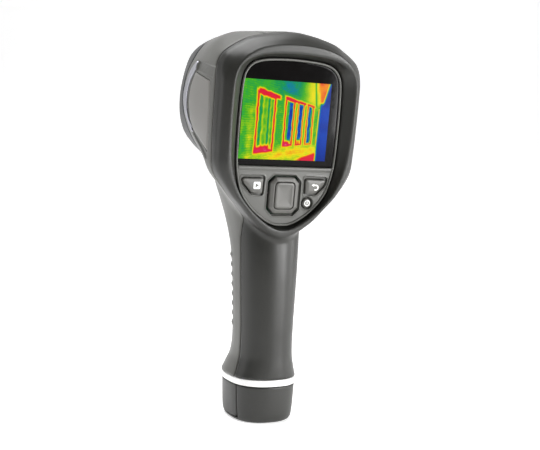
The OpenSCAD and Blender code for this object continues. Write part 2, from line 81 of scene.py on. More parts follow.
B4 = [[0,233.5],[10,233],[17,231.4],[21.4,228.6],[25,225],[27.4,220.4],[28.8,214],[29.3,206],[28.7,198.6],[27,192.8],[24.2,188],[20.4,184],[15.6,180.6],[9,178],[0,177]]
HEAD = [(C0, -33.8, 7.6), (M1, -29.5, 6.5), (M2, -25, 6.33), (S0, -17, 6.4), (F1, 9, 9), (S3, 38, 12)]
NOSE = [(S3, 38.5, 12), (B1, 50, 12), (B2, 66, 12), (B3, 75, 12), (B4, 79, 12)]
RING_TOP, FOOT_H, GAP = 28.0, 23.4, 0.3
GRIP = [[RING_TOP, 21.7, -22, 33.4], [34, 19.8, -22, 29.6], [42, 18, -21.8, 24], [50, 17.6, -21.8, 21.8], [60, 17.7, -22, 21.2], [75, 18.3, -22, 21],
        [90, 19, -22, 22], [107, 19.8, -21.5, 25], [118, 20.6, -20.5, 30], [128, 22.2, -19, 34.7], [140, 25.4, -17, 39.2], [150, 28.5, -14, 41.9], [160, 29.7, -10, 43.3], [168, 30, -8, 43]]
FOOT = [[0, 17.4, -17.2, 28.4], [1, 18.8, -18.8, 30], [3, 19.6, -20, 31], [10, 20.3, -21, 31.6], [FOOT_H, 21, -21.8, 31.8]]
PANE = [[0,41.2],[12,40.8],[22,39.6],[28.5,36.8],[32.4,31.8],[33.9,25],[34.5,12],[34.6,-4],[34.3,-18],[33.4,-27],[31,-37],[27.8,-43.6],[21.6,-51],[13,-57.6],[5.5,-60.9],[0,-61.4]]
RIM = [[0,43.8],[12.5,43.3],[23,42],[30.5,39.6],[36,36],[39.4,30.6],[40.6,20],[40.8,2],[40.3,-12],[39.2,-22],[36.6,-31],[32.4,-39.5],[25.4,-48],[15.6,-56.4],[6.6,-61.8],[0,-63.4]]
MOUTH = [[0,21],[10,20.6],[16.4,19],[20.4,16.2],[23.6,12.6],[25.8,8],[27,1.6],[27.4,-5.6],[26.8,-12.6],[25.2,-18.4],[22.6,-23.2],[18.8,-27.2],[13.8,-30.4],[8,-32.2],[0,-32.8]]
NP = [[0,26],[10,25.4],[17.6,23.4],[23.4,19.4],[27.6,13.4],[29.8,5],[30.3,-4],[29.2,-14],[26.6,-22],[22.6,-28.4],[16.8,-33.4],[9,-36.4],[0,-37.2]]
PANEL = [[-14.3, 210.6], [13.3, 217.4], [20.2, 208.9], [23.8, 199.6], [23.2, 188.4], [18.6, 181.6], [-10.6, 168.3], [-12.9, 179], [-15, 195]]
STRIP = [[15.1, 224.6], [24.9, 219.3], [31.6, 209.3], [34.6, 199.9], [33.1, 191.2], [27.7, 184.2], [22.4, 180.4], [20.6, 182], [25.2, 188], [27.6, 196.3], [26, 204.8], [20.9, 213.1], [13.5, 219.5]]
PARTING = [(20, -5), (116, -5), (124, -7), (132, -11), (138.5, -14.3), (190, -20), (250, -26.7)]
SCREWS = [[33.2, 226.5, 26.5], [38.5, 170, 23]]
TAU, RISE, LENS_UP, CAM_UP = 6.33, 12.0, -2.0, 14.5
GLASS_LOW = -24.0


def catmull(P, k):
    P = np.array(P, float)
    out = []
    for i in range(len(P) - 1):
        b, c = P[i], P[i + 1]
        a = P[i - 1] if i else P[1] * [-1, 1]
        d = P[i + 2] if i + 2 < len(P) else P[-2] * [-1, 1]
        for j in range(k):
            t = j / k
            out.append(0.5 * (2 * b + (c - a) * t + (2 * a - 5 * b + 4 * c - d) * t * t + (3 * b - a - 3 * c + d) * t ** 3))
    out.append(P[-1])
    return np.array(out)


def full(P, k):
    h = catmull(P, k)
    return np.concatenate([h, (h[1:-1] * [-1, 1])[::-1]])


def inset(O, d):
    t = np.roll(O, -1, 0) - np.roll(O, 1, 0)
    m = np.linalg.norm(t, axis=1, keepdims=True)
    return O + d * np.stack([t[:, 1], -t[:, 0]], 1) / m


def closed(P, k=6, tension=1.0):
    """A closed smooth curve through points."""
    P = np.array(P, float)
    n = len(P)
    out = []
    for i in range(n):
        a, b, c, d = P[i - 1], P[i], P[(i + 1) % n], P[(i + 2) % n]
        for j in range(k):
            t = j / k
            out.append(0.5 * (2 * b + (c - a) * t + (2 * a - 5 * b + 4 * c - d) * t * t + (3 * b - a - 3 * c + d) * t ** 3))
    return np.array(out)


def pchip(s, V, q):
    """Monotone cubic through V at s, read at q. V is (n, ...)."""
    s, V, q = np.array(s, float), np.array(V, float), np.array(q, float)
    n = len(s)
    shape = (n - 1,) + (1,) * (V.ndim - 1)
    h = np.diff(s).reshape(shape)
    dl = np.diff(V, axis=0) / h
    m = np.zeros_like(V)
    w1, w2 = 2 * h[1:] + h[:-1], h[1:] + 2 * h[:-1]
    with np.errstate(divide="ignore", invalid="ignore"):
        hm = (w1 + w2) / (w1 / dl[:-1] + w2 / dl[1:])
    m[1:-1] = np.where(dl[:-1] * dl[1:] > 0, hm, 0)
    m[0], m[-1] = dl[0], dl[-1]
    i = np.clip(np.searchsorted(s, q, side="right") - 1, 0, n - 2)
    hh = (s[i + 1] - s[i])
    t = ((q - s[i]) / hh).reshape((len(q),) + (1,) * (V.ndim - 1))
    hh = hh.reshape(t.shape)
    return ((1 + 2 * t) * (1 - t) ** 2 * V[i] + t * (1 - t) ** 2 * hh * m[i] + t * t * (3 - 2 * t) * V[i + 1] + t * t * (t - 1) * hh * m[i + 1])


def lean(O, y, t):
    return np.stack([O[:, 0], y - (O[:, 1] - 190) * math.tan(rad(t)), O[:, 1]], 1)


def tube(rings):
    """Closed triangle mesh from rings of the same size, ends fanned."""
    R = np.array(rings, float)
    m, n = R.shape[:2]
    V = np.concatenate([R.reshape(-1, 3), R[0].mean(0)[None], R[-1].mean(0)[None]])
    j = np.arange(n)
    k = (j + 1) % n
    F = [np.stack([j, k, np.full(n, m * n)], 1)]
    for i in range(m - 1):
        F.append(np.stack([i * n + j, (i + 1) * n + j, (i + 1) * n + k], 1))
        F.append(np.stack([i * n + j, (i + 1) * n + k, i * n + k], 1))
    F.append(np.stack([(m - 1) * n + k, (m - 1) * n + j, np.full(n, m * n + 1)], 1))
    return V, np.concatenate(F)


def smooth_rings(rings, per):
    R = np.array(rings, float)
    mid = R.mean(1)
    s = np.concatenate([[0], np.cumsum(np.linalg.norm(np.diff(mid, axis=0), axis=1))])
    q = np.concatenate([np.linspace(s[i], s[i + 1], max(2, int((s[i + 1] - s[i]) / per) + 1), endpoint=False) for i in range(len(s) - 1)] + [[s[-1]]])
    return pchip(s, R, q)


def head_mesh(d=0.0, first=0, y0=0.0, y1=0.0):
    rings = []
    for i, (O, y, t) in enumerate(HEAD):
        if i >= first:
            rings.append(lean(inset(full(O, 8), d), y + (y0 if i == first else 0) + (y1 if i == 5 else 0), t))
    return tube(smooth_rings(rings, 1.6))


def nose_mesh(d=0.0, y0=0.0, y1=0.0):
    rings = [lean(inset(full(O, 8), d), y + (y0 if i == 0 else 0) + (y1 if i == 4 else 0), t) for i, (O, y, t) in enumerate(NOSE)]
    return tube(smooth_rings(rings, 1.6))


def oval(z, a, r, f, d=0.0, n=160):
    c = (r + f) / 2 * 0.4
    u = 2 * np.pi * np.arange(n) / n
    s, co = np.sin(u), np.cos(u)
    p = lambda v: np.sign(v) * np.abs(v) ** 0.84
    return np.stack([(a - d) * p(co), c + np.where(s > 0, f - d - c, c - r - d) * p(s), np.full(n, float(z))], 1)


def stack_mesh(table, d=0.0, z0=0.0, z1=0.0, step=2.0):
    T = np.array(table, float)
    q = np.concatenate([np.linspace(a, b, max(2, int((b - a) / step) + 1), endpoint=False) for a, b in zip(T[:-1, 0], T[1:, 0])] + [[T[-1, 0]]])
    W = pchip(T[:, 0], T[:, 1:], q)
    q = q.copy()
    q[0] += z0
    q[-1] += z1
    return tube([oval(z, *w, d=d) for z, w in zip(q, W)])


def turn(axis, deg):
    return np.array(Matrix.Rotation(rad(deg), 3, axis))


PANE_R, PANE_T = turn("X", TAU), np.array([0, -27.1, 185.0])
BARREL_R, BARREL_T = turn("X", RISE), np.array([0, 0, 195.0])
PANE_F, BARREL_F, WORLD_F = (PANE_R, PANE_T), (BARREL_R, BARREL_T), (np.eye(3), np.zeros(3))


def place(V, f):
    return V @ f[0].T + f[1]


def unplace(V, f):
    return (V - f[1]) @ f[0]


# ------------------------------------------------------------------ level sets
class Vol:
    def __init__(self, lo, hi, h, frame=WORLD_F):
        self.h, self.f = h, frame
        self.i0 = np.floor(np.array(lo, float) / h).astype(int) - 3
        self.n = np.ceil(np.array(hi, float) / h).astype(int) + 4 - self.i0
        ax = [(np.arange(self.n[a]) + self.i0[a]) * h for a in range(3)]
        self.x, self.y, self.z = ax
        self.X = ax[0][:, None, None].astype(F32)
        self.Y = ax[1][None, :, None].astype(F32)
        self.Z = ax[2][None, None, :].astype(F32)

    def mesh(self, VF, band=4.0):
        """Signed distance to a closed mesh given in world millimetres."""
        V, F = VF
        V = unplace(V, self.f)
        g = vdb.FloatGrid.createLevelSetFromPolygons(np.ascontiguousarray(V, F32), triangles=np.ascontiguousarray(F, np.uint32),
                                                     transform=vdb.createLinearTransform(self.h), halfWidth=band / self.h)
        a = np.empty(tuple(self.n), F32)
        g.copyToArray(a, ijk=tuple(int(v) for v in self.i0))
        return a

    def poly(self, P, plane):
        """Signed distance to an outline, constant across the third axis. plane is 'yz', 'xz' or 'xy'."""
        P = np.array(P, float)
        A, B = {"yz": (self.y, self.z), "xz": (self.x, self.z), "xy": (self.x, self.y)}[plane]
        A, B = A[:, None], B[None, :]
        d = np.full((A.shape[0], B.shape[1]), 1e9)
        inside = np.zeros(d.shape, bool)
        for (ax, bx), (cx, dx) in zip(P, np.roll(P, -1, 0)):
            ex, ey = cx - ax, dx - bx
            wx, wy = A - ax, B - bx
            t = np.clip((wx * ex + wy * ey) / max(ex * ex + ey * ey, 1e-12), 0, 1)
            d = np.minimum(d, (wx - t * ex) ** 2 + (wy - t * ey) ** 2)
            inside ^= ((bx > B) != (dx > B)) & (A < (cx - ax) * (B - bx) / (dx - bx + 1e-30) + ax)
        d = np.where(inside, -1, 1) * np.sqrt(d)
        d = d.astype(F32)
        return {"yz": d[None], "xz": d[:, None, :], "xy": d[:, :, None]}[plane]

    def box(self, lo, hi, r=0.0):
        c, s = (np.array(lo, float) + hi) / 2, (np.array(hi, float) - lo) / 2 - r
        q = [np.abs(v - F32(c[i])) - F32(s[i]) for i, v in enumerate((self.X, self.Y, self.Z))]
        out = np.sqrt(np.maximum(q[0], 0) ** 2 + np.maximum(q[1], 0) ** 2 + np.maximum(q[2], 0) ** 2)
        return out + np.minimum(np.maximum(q[0], np.maximum(q[1], q[2])), 0) - F32(r)

    def rod(self, axis, c, r, lo=None, hi=None):
        v = [self.X - F32(c[0]), self.Y - F32(c[1]), self.Z - F32(c[2])]
        k = "XYZ".index(axis)
        a, b = [v[i] for i in range(3) if i != k]
        d = np.sqrt(a * a + b * b) - F32(r)
        if lo is not None:
            e = np.abs((self.X, self.Y, self.Z)[k] - F32((lo + hi) / 2)) - F32((hi - lo) / 2)
            d = np.maximum(d, e)
        return d


def smin(a, b, k):
    h = np.clip(F32(0.5) + (b - a) * F32(0.5 / k), 0, 1)
    return b * (1 - h) + a * h - F32(k) * h * (1 - h)


def smax(a, b, k):
    return -smin(-a, -b, k)


def blur(a, s):
    r = int(3 * s + 1)
    k = np.exp(-np.arange(-r, r + 1) ** 2 / (2 * s * s))
    k = (k / k.sum()).astype(F32)
    for ax in range(3):
        p = np.pad(a, [(r, r) if i == ax else (0, 0) for i in range(3)], mode="edge")
        n = a.shape[ax]
        o = np.zeros_like(a)
        for j in range(2 * r + 1):
            sl = [slice(None)] * 3
            sl[ax] = slice(j, j + n)
            o += k[j] * p[tuple(sl)]
        a = o
    return a


def trilinear(a, P):
    n = np.array(a.shape)
    P = np.clip(P, 0, n - 1.001)
    i = P.astype(int)
    f = (P - i).astype(F32)
    out = 0
    for dx in (0, 1):
        for dy in (0, 1):
            for dz in (0, 1):
                w = (f[:, 0] if dx else 1 - f[:, 0]) * (f[:, 1] if dy else 1 - f[:, 1]) * (f[:, 2] if dz else 1 - f[:, 2])
                out = out + w * a[i[:, 0] + dx, i[:, 1] + dy, i[:, 2] + dz]
    return out


def make_mesh(name, V, F):
    """An object from vertices in world millimetres and same-sized faces."""
    me = bpy.data.meshes.new(name)
    V = np.ascontiguousarray(V * 0.001, F32)
    k = F.shape[1]
    me.vertices.add(len(V))
    me.vertices.foreach_set("co", V.ravel())
    me.loops.add(F.size)
    me.loops.foreach_set("vertex_index", np.ascontiguousarray(F, np.int32).ravel())
    me.polygons.add(len(F))
    me.polygons.foreach_set("loop_start", np.arange(0, F.size, k, dtype=np.int32))
    me.update(calc_edges=True)
    me.polygons.foreach_set("use_smooth", np.ones(len(F), bool))
    me.validate()
    o = bpy.data.objects.new(name, me)
    bpy.context.scene.collection.objects.link(o)
    return o


def surface(vol, a, name):
    """Meshes the zero surface of a."""
    h = vol.h
    lim = F32(3 * h)
    c = np.clip(a, -lim, lim)
    for ax in range(3):  # nothing leaves the box open
        sl = [slice(None)] * 3
        for e in (0, -1):
            sl[ax] = e
            c[tuple(sl)] = lim
    g = vdb.FloatGrid(float(lim))
    g.transform = vdb.createLinearTransform(h)
    g.copyFromArray(np.ascontiguousarray(c, F32), ijk=tuple(int(v) for v in vol.i0), tolerance=0.0)
    P, Q = g.convertToQuads(0.0)
    P = np.array(P, float)
    Q = np.array(Q, np.int64)
    e = 0.5
    for _ in range(3):
        q = P / h - vol.i0
        f = trilinear(a, q)
        gr = np.stack([(trilinear(a, q + d) - trilinear(a, q - d)) / (2 * e * h) for d in (np.eye(3) * e)], 1)
        n2 = np.maximum((gr ** 2).sum(1), 0.05)
        step = (f / n2)[:, None] * gr
        ln = np.linalg.norm(step, axis=1, keepdims=True)
        step *= np.minimum(1, 0.4 * h / np.maximum(ln, 1e-9))
        P -= step
    A, B, C, D = (P[Q[:, i]] for i in range(4))
    if (np.einsum("ij,ij->i", A, np.cross(B, C)) + np.einsum("ij,ij->i", A, np.cross(C, D))).sum() < 0:
        Q = Q[:, ::-1]
    return make_mesh(name, place(P, vol.f), Q)


def node_mesh(name):
    """A CAD node's triangles, in millimetres."""
    me = NODES[name].data
    co = np.empty(len(me.vertices) * 3, F32)
    me.vertices.foreach_get("co", co)
    me.calc_loop_triangles()
    tr = np.empty(len(me.loop_triangles) * 3, np.int32)
    me.loop_triangles.foreach_get("vertices", tr)
    return co.reshape(-1, 3).astype(float) * 1000, tr.reshape(-1, 3)


def finer(vol, s=0.9):
    return s / vol.h


HR = 0.6  # voxel of the big shells


def put(o, body, slot, *nodes):
    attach(o, body)
    if nodes:
        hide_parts(*nodes)
    o.data.materials.clear()
    o.data.materials.append(MATS[slot])
    return o


# ------------------------------------------------------------------ materials
MATS = {}


class Tree:
    def __init__(self, name):
        m = bpy.data.materials.new(name)
        m.use_nodes = True
        self.m, self.t = m, m.node_tree
        self.b = m.node_tree.nodes["Principled BSDF"]
        self.co = self.n("ShaderNodeTexCoord").outputs["Object"]

    def n(self, kind, **k):
        x = self.t.nodes.new(kind)
        for a, v in k.items():
            setattr(x, a, v)
        return x

    def link(self, a, b):
        self.t.links.new(a, b)

    def noise(self, scale, detail=2.0, rough=0.5, stretch=None):
        n = self.n("ShaderNodeTexNoise")
        n.inputs["Scale"].default_value = scale
        n.inputs["Detail"].default_value = detail
        n.inputs["Roughness"].default_value = rough
        if stretch:
            mp = self.n("ShaderNodeMapping")
            mp.inputs["Scale"].default_value = stretch
            self.link(self.co, mp.inputs["Vector"])
            self.link(mp.outputs[0], n.inputs["Vector"])
        else:
            self.link(self.co, n.inputs["Vector"])
        return n.outputs["Fac"]

    def ramp(self, src, stops, interp="LINEAR"):
        r = self.n("ShaderNodeValToRGB")
        r.color_ramp.interpolation = interp
        el = r.color_ramp.elements
        while len(el) > 1:
            el.remove(el[-1])
        el[0].position, el[0].color = stops[0][0], (*stops[0][1], 1)
        for p, c in stops[1:]:
            e = el.new(p)
            e.color = (*c, 1)
        self.link(src, r.inputs[0])
        return r.outputs[0]

    def range(self, src, a, b, c, d):
        r = self.n("ShaderNodeMapRange")
        for i, v in enumerate((a, b, c, d)):
            r.inputs[i + 1].default_value = v
        self.link(src, r.inputs[0])
        return r.outputs[0]

    def math(self, op, a, b):
        r = self.n("ShaderNodeMath", operation=op)
        for i, v in enumerate((a, b)):
            if isinstance(v, (int, float)):
                r.inputs[i].default_value = v
            else:
                self.link(v, r.inputs[i])
        return r.outputs[0]

    def mix(self, fac, a, b):
        r = self.n("ShaderNodeMix", data_type="RGBA")
        if isinstance(fac, (int, float)):
            r.inputs[0].default_value = fac
        else:
            self.link(fac, r.inputs[0])
        for i, v in ((6, a), (7, b)):
            if isinstance(v, tuple):
                r.inputs[i].default_value = (*v, 1)
            else:
                self.link(v, r.inputs[i])
        return r.outputs[2]


def lin(*rgb):
    return tuple(round((c / 255 / 12.92) if c / 255 <= 0.04045 else ((c / 255 + 0.055) / 1.055) ** 2.4, 5) for c in rgb)


def scale3(c, k):
    return tuple(min(1.0, v * k) for v in c)


def moulded(slot, rgb, rough=0.5, grain=1400.0, bump=0.12, vary=0.10, edge_sheen=0.12, specular=0.5, coat=0.0, dist=0.00006):
    """Moulded plastic or rubber: spark-eroded grain, slow mottling, and convex edges painted lighter as a painted
    highlight.
    """
    t = Tree(slot)
    base = lin(*rgb)
    slow = t.noise(28, 4, 0.6)
    fine = t.noise(grain, 2, 0.6)
    colour = t.ramp(slow, [(0.25, scale3(base, 1 - vary)), (0.75, scale3(base, 1 + vary))])
    speck = t.range(fine, 0.3, 0.7, 0.94, 1.06)
    mul = t.n("ShaderNodeMix", data_type="RGBA", blend_type="MULTIPLY")
    mul.inputs[0].default_value = 1.0
    t.link(colour, mul.inputs[6])
    t.link(speck, mul.inputs[7])
    geo = t.n("ShaderNodeNewGeometry")
    # painted highlight: convex edges, found by pointiness, are painted lighter, up to 1.9 times the base colour
    edge = t.range(geo.outputs["Pointiness"], 0.52, 0.60, 0.0, edge_sheen)
    edge_lit_colour = t.mix(edge, mul.outputs[2], scale3(base, 1.9))
    t.link(edge_lit_colour, t.b.inputs["Base Color"])
    r = t.math("ADD", t.range(slow, 0.3, 0.7, rough - 0.05, rough + 0.05), t.range(fine, 0.3, 0.7, -0.04, 0.04))
    t.link(r, t.b.inputs["Roughness"])
    bp = t.n("ShaderNodeBump")
    bp.inputs["Strength"].default_value = bump
    bp.inputs["Distance"].default_value = dist
    t.link(fine, bp.inputs["Height"])
    t.link(bp.outputs[0], t.b.inputs["Normal"])
    t.b.inputs["Specular IOR Level"].default_value = specular
    if coat:
        t.b.inputs["Coat Weight"].default_value = coat
        t.b.inputs["Coat Roughness"].default_value = 0.08
    MATS[slot] = t.m
    return t


def metal(slot, rgb, rough=0.3, brushed=(1, 1, 1), scale=300.0, bump=0.05):
    t = Tree(slot)
    base = lin(*rgb)
    n = t.noise(scale, 4, 0.6, brushed)
    slow = t.noise(40, 3)
    t.link(t.mix(t.range(slow, 0.3, 0.7, 0, 1), scale3(base, 0.88), base), t.b.inputs["Base Color"])
    t.b.inputs["Metallic"].default_value = 1.0
    t.link(t.range(n, 0.3, 0.7, rough * 0.75, rough * 1.3), t.b.inputs["Roughness"])
    bp = t.n("ShaderNodeBump")
    bp.inputs["Strength"].default_value = bump
    bp.inputs["Distance"].default_value = 0.0001
    t.link(n, bp.inputs["Height"])
    t.link(bp.outputs[0], t.b.inputs["Normal"])
    MATS[slot] = t.m
    return t


moulded("dark_rubber", (38, 38, 35), rough=0.40, grain=1700, bump=0.14, edge_sheen=0.10, specular=0.40)
moulded("grey_plastic", (84, 84, 80), rough=0.40, grain=1500, bump=0.10, edge_sheen=0.10, specular=0.45)
moulded("panel_plastic", (112, 110, 106), rough=0.36, grain=1900, bump=0.07, edge_sheen=0.08, vary=0.05, specular=0.6)
moulded("bumper_rubber", (26, 29, 31), rough=0.40, grain=1500, bump=0.12, edge_sheen=0.10)
moulded("black_plastic", (30, 30, 30), rough=0.45, grain=1500, bump=0.10, edge_sheen=0.08)
moulded("keypad_plastic", (76, 76, 72), rough=0.42, grain=1900, bump=0.10, edge_sheen=0.16, specular=0.5)
moulded("key_rubber", (78, 77, 73), rough=0.44, grain=1900, bump=0.10, edge_sheen=0.16, specular=0.6)
moulded("trigger_plastic", (86, 85, 80), rough=0.48, grain=1500, bump=0.10, edge_sheen=0.12)
moulded("foot_plastic", (40, 40, 37), rough=0.42, grain=1600, bump=0.12, edge_sheen=0.10, specular=0.45)
moulded("pale_ring", (244, 244, 242), rough=0.35, grain=1200, bump=0.05, edge_sheen=0.0, vary=0.03)
moulded("gasket_foam", (34, 34, 34), rough=0.85, grain=2600, bump=0.4, edge_sheen=0.0)
moulded("battery_wrap", (62, 74, 70), rough=0.38, grain=900, bump=0.05, edge_sheen=0.05)
moulded("circuit_board", (26, 74, 46), rough=0.38, grain=800, bump=0.12, vary=0.16, edge_sheen=0.0)
metal("bright_trim", (168, 168, 176), rough=0.30, brushed=(1, 1, 0.2), scale=260, bump=0.02)
metal("aluminium", (176, 178, 180), rough=0.32, brushed=(1, 0.05, 1), scale=900)
metal("core_metal", (120, 122, 126), rough=0.36, scale=700)
metal("steel", (170, 172, 176), rough=0.28, scale=900)
metal("gold_contacts", (214, 178, 88), rough=0.25, scale=900)
metal("germanium", (96, 84, 104), rough=0.12, scale=120, bump=0.01)


def gloss(slot, rgb, rough, coat):
    t = Tree(slot)
    base = lin(*rgb)
    slow = t.noise(60, 3)
    t.link(t.mix(t.range(slow, 0.3, 0.7, 0, 1), scale3(base, 0.8), scale3(base, 1.2)), t.b.inputs["Base Color"])
    t.link(t.range(t.noise(420, 3), 0.3, 0.7, rough * 0.7, rough * 1.4), t.b.inputs["Roughness"])
    t.b.inputs["Coat Weight"].default_value = coat
    t.b.inputs["Coat Roughness"].default_value = 0.04
    MATS[slot] = t.m
    return t


gloss("black_gloss", (20, 20, 21), 0.12, 0.6)
gloss("display_glass", (15, 14, 14), 0.06, 0.0).b.inputs["Specular IOR Level"].default_value = 0.04
gloss("clear_window", (22, 30, 38), 0.06, 0.8)

# the picture on the display: a made-up warm building, from a temperature at each point
t = Tree("display_panel")
att = t.n("ShaderNodeAttribute", attribute_name="warmth")
grainy = t.math("ADD", att.outputs["Fac"], t.range(t.noise(2600, 3, 0.7), 0.2, 0.8, -0.035, 0.035))
palette = t.ramp(grainy, [(0.0, lin(10, 24, 110)), (0.12, lin(14, 70, 190)), (0.24, lin(6, 130, 170)), (0.36, lin(22, 158, 84)), (0.48, lin(70, 186, 40)),
                          (0.58, lin(160, 212, 24)), (0.68, lin(252, 236, 20)), (0.78, lin(255, 150, 20)), (0.87, lin(236, 34, 40)), (0.95, lin(232, 40, 96)), (1.0, lin(255, 214, 226))])
dim = t.n("ShaderNodeMix", data_type="RGBA", blend_type="MULTIPLY")
dim.inputs[0].default_value = 1.0
t.link(palette, dim.inputs[6])
dim.inputs[7].default_value = (0.12, 0.12, 0.12, 1)
t.link(dim.outputs[2], t.b.inputs["Base Color"])
t.link(palette, t.b.inputs["Emission Color"])
t.b.inputs["Emission Strength"].default_value = 0.66
t.b.inputs["Roughness"].default_value = 0.16
t.b.inputs["Specular IOR Level"].default_value = 0.03
MATS["display_panel"] = t.m

# printed marks on the keys
t = Tree("mark")
fine = t.noise(2400, 2)
t.link(t.mix(t.range(fine, 0.3, 0.7, 0, 1), lin(226, 226, 222), lin(246, 246, 244)), t.b.inputs["Base Color"])
t.link(t.range(fine, 0.3, 0.7, 0.4, 0.55), t.b.inputs["Roughness"])
MATS["mark"] = t.m

for r in frame["record"].get("materials", []):
    if r["slot"] not in MATS:
        moulded(r["slot"], tuple(int(255 * c) for c in (r.get("base_color") or [0.4, 0.4, 0.4])[:3]))
NODE_SLOT = {}
for r in frame["record"].get("materials", []):
    for n in r.get("nodes", []) or r.get("applies_to", []) or []:
        NODE_SLOT[n] = r["slot"]
for n, o in NODES.items():
    s = NODE_SLOT.get(n)
    old = o.data.materials[0].name.split(".")[0] if o.data.materials and o.data.materials[0] else None
    s = s or old
    if s in MATS:
        o.data.materials.clear()
        o.data.materials.append(MATS[s])

# ------------------------------------------------------------------ big shells
big = Vol((-49, -46, 26), (49, 48, 246), HR)
body = big.mesh(head_mesh(), 9)
stem = big.mesh(stack_mesh(GRIP), 9)
A = smin(body, stem, 3.0)
# finger ribs down the front of the handle
wave = np.cos(2 * np.pi * (big.z - 60) / 6.2)
wave = np.where((big.z > 56.9) & (big.z < 106.5), np.clip(wave + 0.15, 0, 1), 0).astype(F32)
A = A - F32(0.75) * wave[None, None, :] * np.clip((big.Y - F32(6.5)) / F32(4), 0, 1)
del wave
hollow = np.minimum(big.mesh(head_mesh(2.2, 2, 0.5, 2.3), 5), big.mesh(stack_mesh(GRIP, 2.2, -3), 5))
pz, py = np.array(PARTING).T
part = (big.Y - np.interp(big.z, pz, py).astype(F32)[None, None, :]) * F32(0.985)

rim_p, pane_p = full(RIM, 6), full(PANE, 6)
rings = []
for y, O in ((-10.5, inset(rim_p, -2.6)), (-7.4, inset(rim_p, -1.0)), (-6.0, inset(rim_p, 0.1)), (-0.6, pane_p * 1.02), (2.4, pane_p * 1.004)):
    rings.append(place(np.stack([O[:, 0], np.full(len(O), y), O[:, 1]], 1), PANE_F))
recess = big.mesh(tube(rings), 5)
R = smax(A, part + F32(0.2), 0.5)
R = smax(R, -hollow, 0.5)
R = smax(R, -recess, 0.6)
through = place(np.stack([inset(pane_p, 1.4)[:, 0], np.zeros(len(pane_p)), inset(pane_p, 1.4)[:, 1]], 1), PANE_F)
nin = PANE_R @ np.array([0, 1, 0])
R = np.maximum(R, -big.mesh(tube([through - nin, through + 5 * nin]), 3))
for s in (-1, 1):
    for hx, hz, hl in SCREWS:
        boss = big.rod("Y", (s * hx, 0, hz), 3, -34, -13)
        inside = np.maximum(boss, A + F32(1.2))
        R = np.minimum(R, np.maximum(inside, -np.minimum(recess, 9)))
        R = np.maximum(R, -big.rod("Y", (s * hx, 0, hz), 1.6, -11 - hl + 10.3, -10))
R = blur(R, 0.36 / HR)
put(surface(big, R, "rear_shell"), "housing", "dark_rubber", "rear_housing")

Fh = smax(A, F32(GAP + 0.2) - part, 0.5)
Fh = smax(Fh, -hollow, 0.5)
t12 = math.tan(rad(12))
front_end = (big.Y - (F32(37.6) - (big.Z - 190) * F32(t12))) * F32(math.cos(rad(12)))
Fh = np.maximum(Fh, -np.minimum(-front_end + 60, 60) * 0 + np.minimum(front_end, 60))
side = np.abs(big.X) - F32(30)  # only the flanks
grown = lambda P, e: inset(np.array(P, float), -e) if np.cross(np.array(P[1], float) - P[0], np.array(P[2], float) - P[1]) < 0 else inset(np.array(P, float)[::-1], -e)
for P, depth, e in ((PANEL, 1.3, 0.25), (STRIP, 1.1, 0.25)):
    cut = np.maximum(np.maximum(big.poly(grown(P, e), "yz"), -(A + F32(depth))), -side)
    Fh = np.maximum(Fh, -cut)
for P, depth in (([(11.7, 224), (-22, 218.4), (-18.2, 212.2), (12.3, 218.2)], 1.1), ([(21.4, 179.4), (19.4, 182.0), (-9.6, 167.3), (-8.4, 163.6)], 1.1)):
    cut = np.maximum(np.maximum(big.poly(P, "yz"), -(A + F32(depth))), -side)
    Fh = np.maximum(Fh, -cut)
Fh = np.maximum(Fh, -big.box((-17.6, -30, 234), (17.6, 5.2, 260)))
Fh = np.maximum(Fh, -np.maximum(big.poly([[22.4, 117.5], [50, 117.5], [50, 143], [22.4, 143]], "yz"), np.abs(big.X) - F32(7)))
Fh = np.maximum(Fh, -big.box((-9.4, 20, 131.6), (9.4, 32.4, 141.4)))
for s in (-1, 1):
    for hx, hz, hl in SCREWS:
        Fh = np.minimum(Fh, np.maximum(big.rod("Y", (s * hx, 0, hz), 3, -18, 2), A + F32(1.2)))
        Fh = np.maximum(Fh, -big.rod("Y", (s * hx, 0, hz), 1.6, -22, 4.6))
        Fh = np.maximum(Fh, -big.rod("Y", (s * hx, 0, hz), 2.8, 2.0, 4.6))
Fh = blur(Fh, 0.36 / HR)
put(surface(big, Fh, "front_shell"), "housing", "grey_plastic", "front_housing")
del R, Fh, recess, part, front_end, stem

# ------------------------------------------------------------------ flank panels, trim, top cover
fine = Vol((-49, -24, 160), (49, 40, 246), 0.4)
hd = fine.mesh(head_mesh(), 3.5)
for s, tag in ((-1, "left"), (1, "right")):
    lo, hi = (-49, -24, 160), (-36, 40, 228)
    v = Vol(lo, hi, 0.3) if s < 0 else Vol((36, -24, 160), (49, 40, 228), 0.3)
    h = v.mesh(head_mesh(), 3)
    pl = v.poly(PANEL, "yz")
    p = np.maximum(np.maximum(pl, h - F32(0.2) + np.maximum(pl + F32(1.5), 0) * F32(0.38)), -(h + F32(1.0)))
    put(surface(v, blur(p, 0.22 / v.h), "side_panel_" + tag + "_skin"), "housing", "panel_plastic", "side_panel_" + tag)
    st = v.poly(closed(STRIP, 5), "yz")
    p = np.maximum(np.maximum(st, h - F32(0.35) - np.maximum(F32(0.25) + np.maximum(st, -1.2) * F32(0.3), 0)), -(h + F32(0.8)))
    put(surface(v, blur(p, 0.3 / v.h), "trim_strip_" + tag + "_skin"), "housing", "bright_trim", "trim_strip_" + tag)
pz2, py2 = np.array(PARTING).T
partf = (fine.Y - np.interp(fine.z, pz2, py2).astype(F32)[None, None, :])
cov = np.maximum(np.maximum(hd, -(hd + F32(2.0))), F32(GAP) - partf)
cov = np.maximum(cov, fine.box((-17.3, -30, 234.5), (17.3, 4.9, 260)))
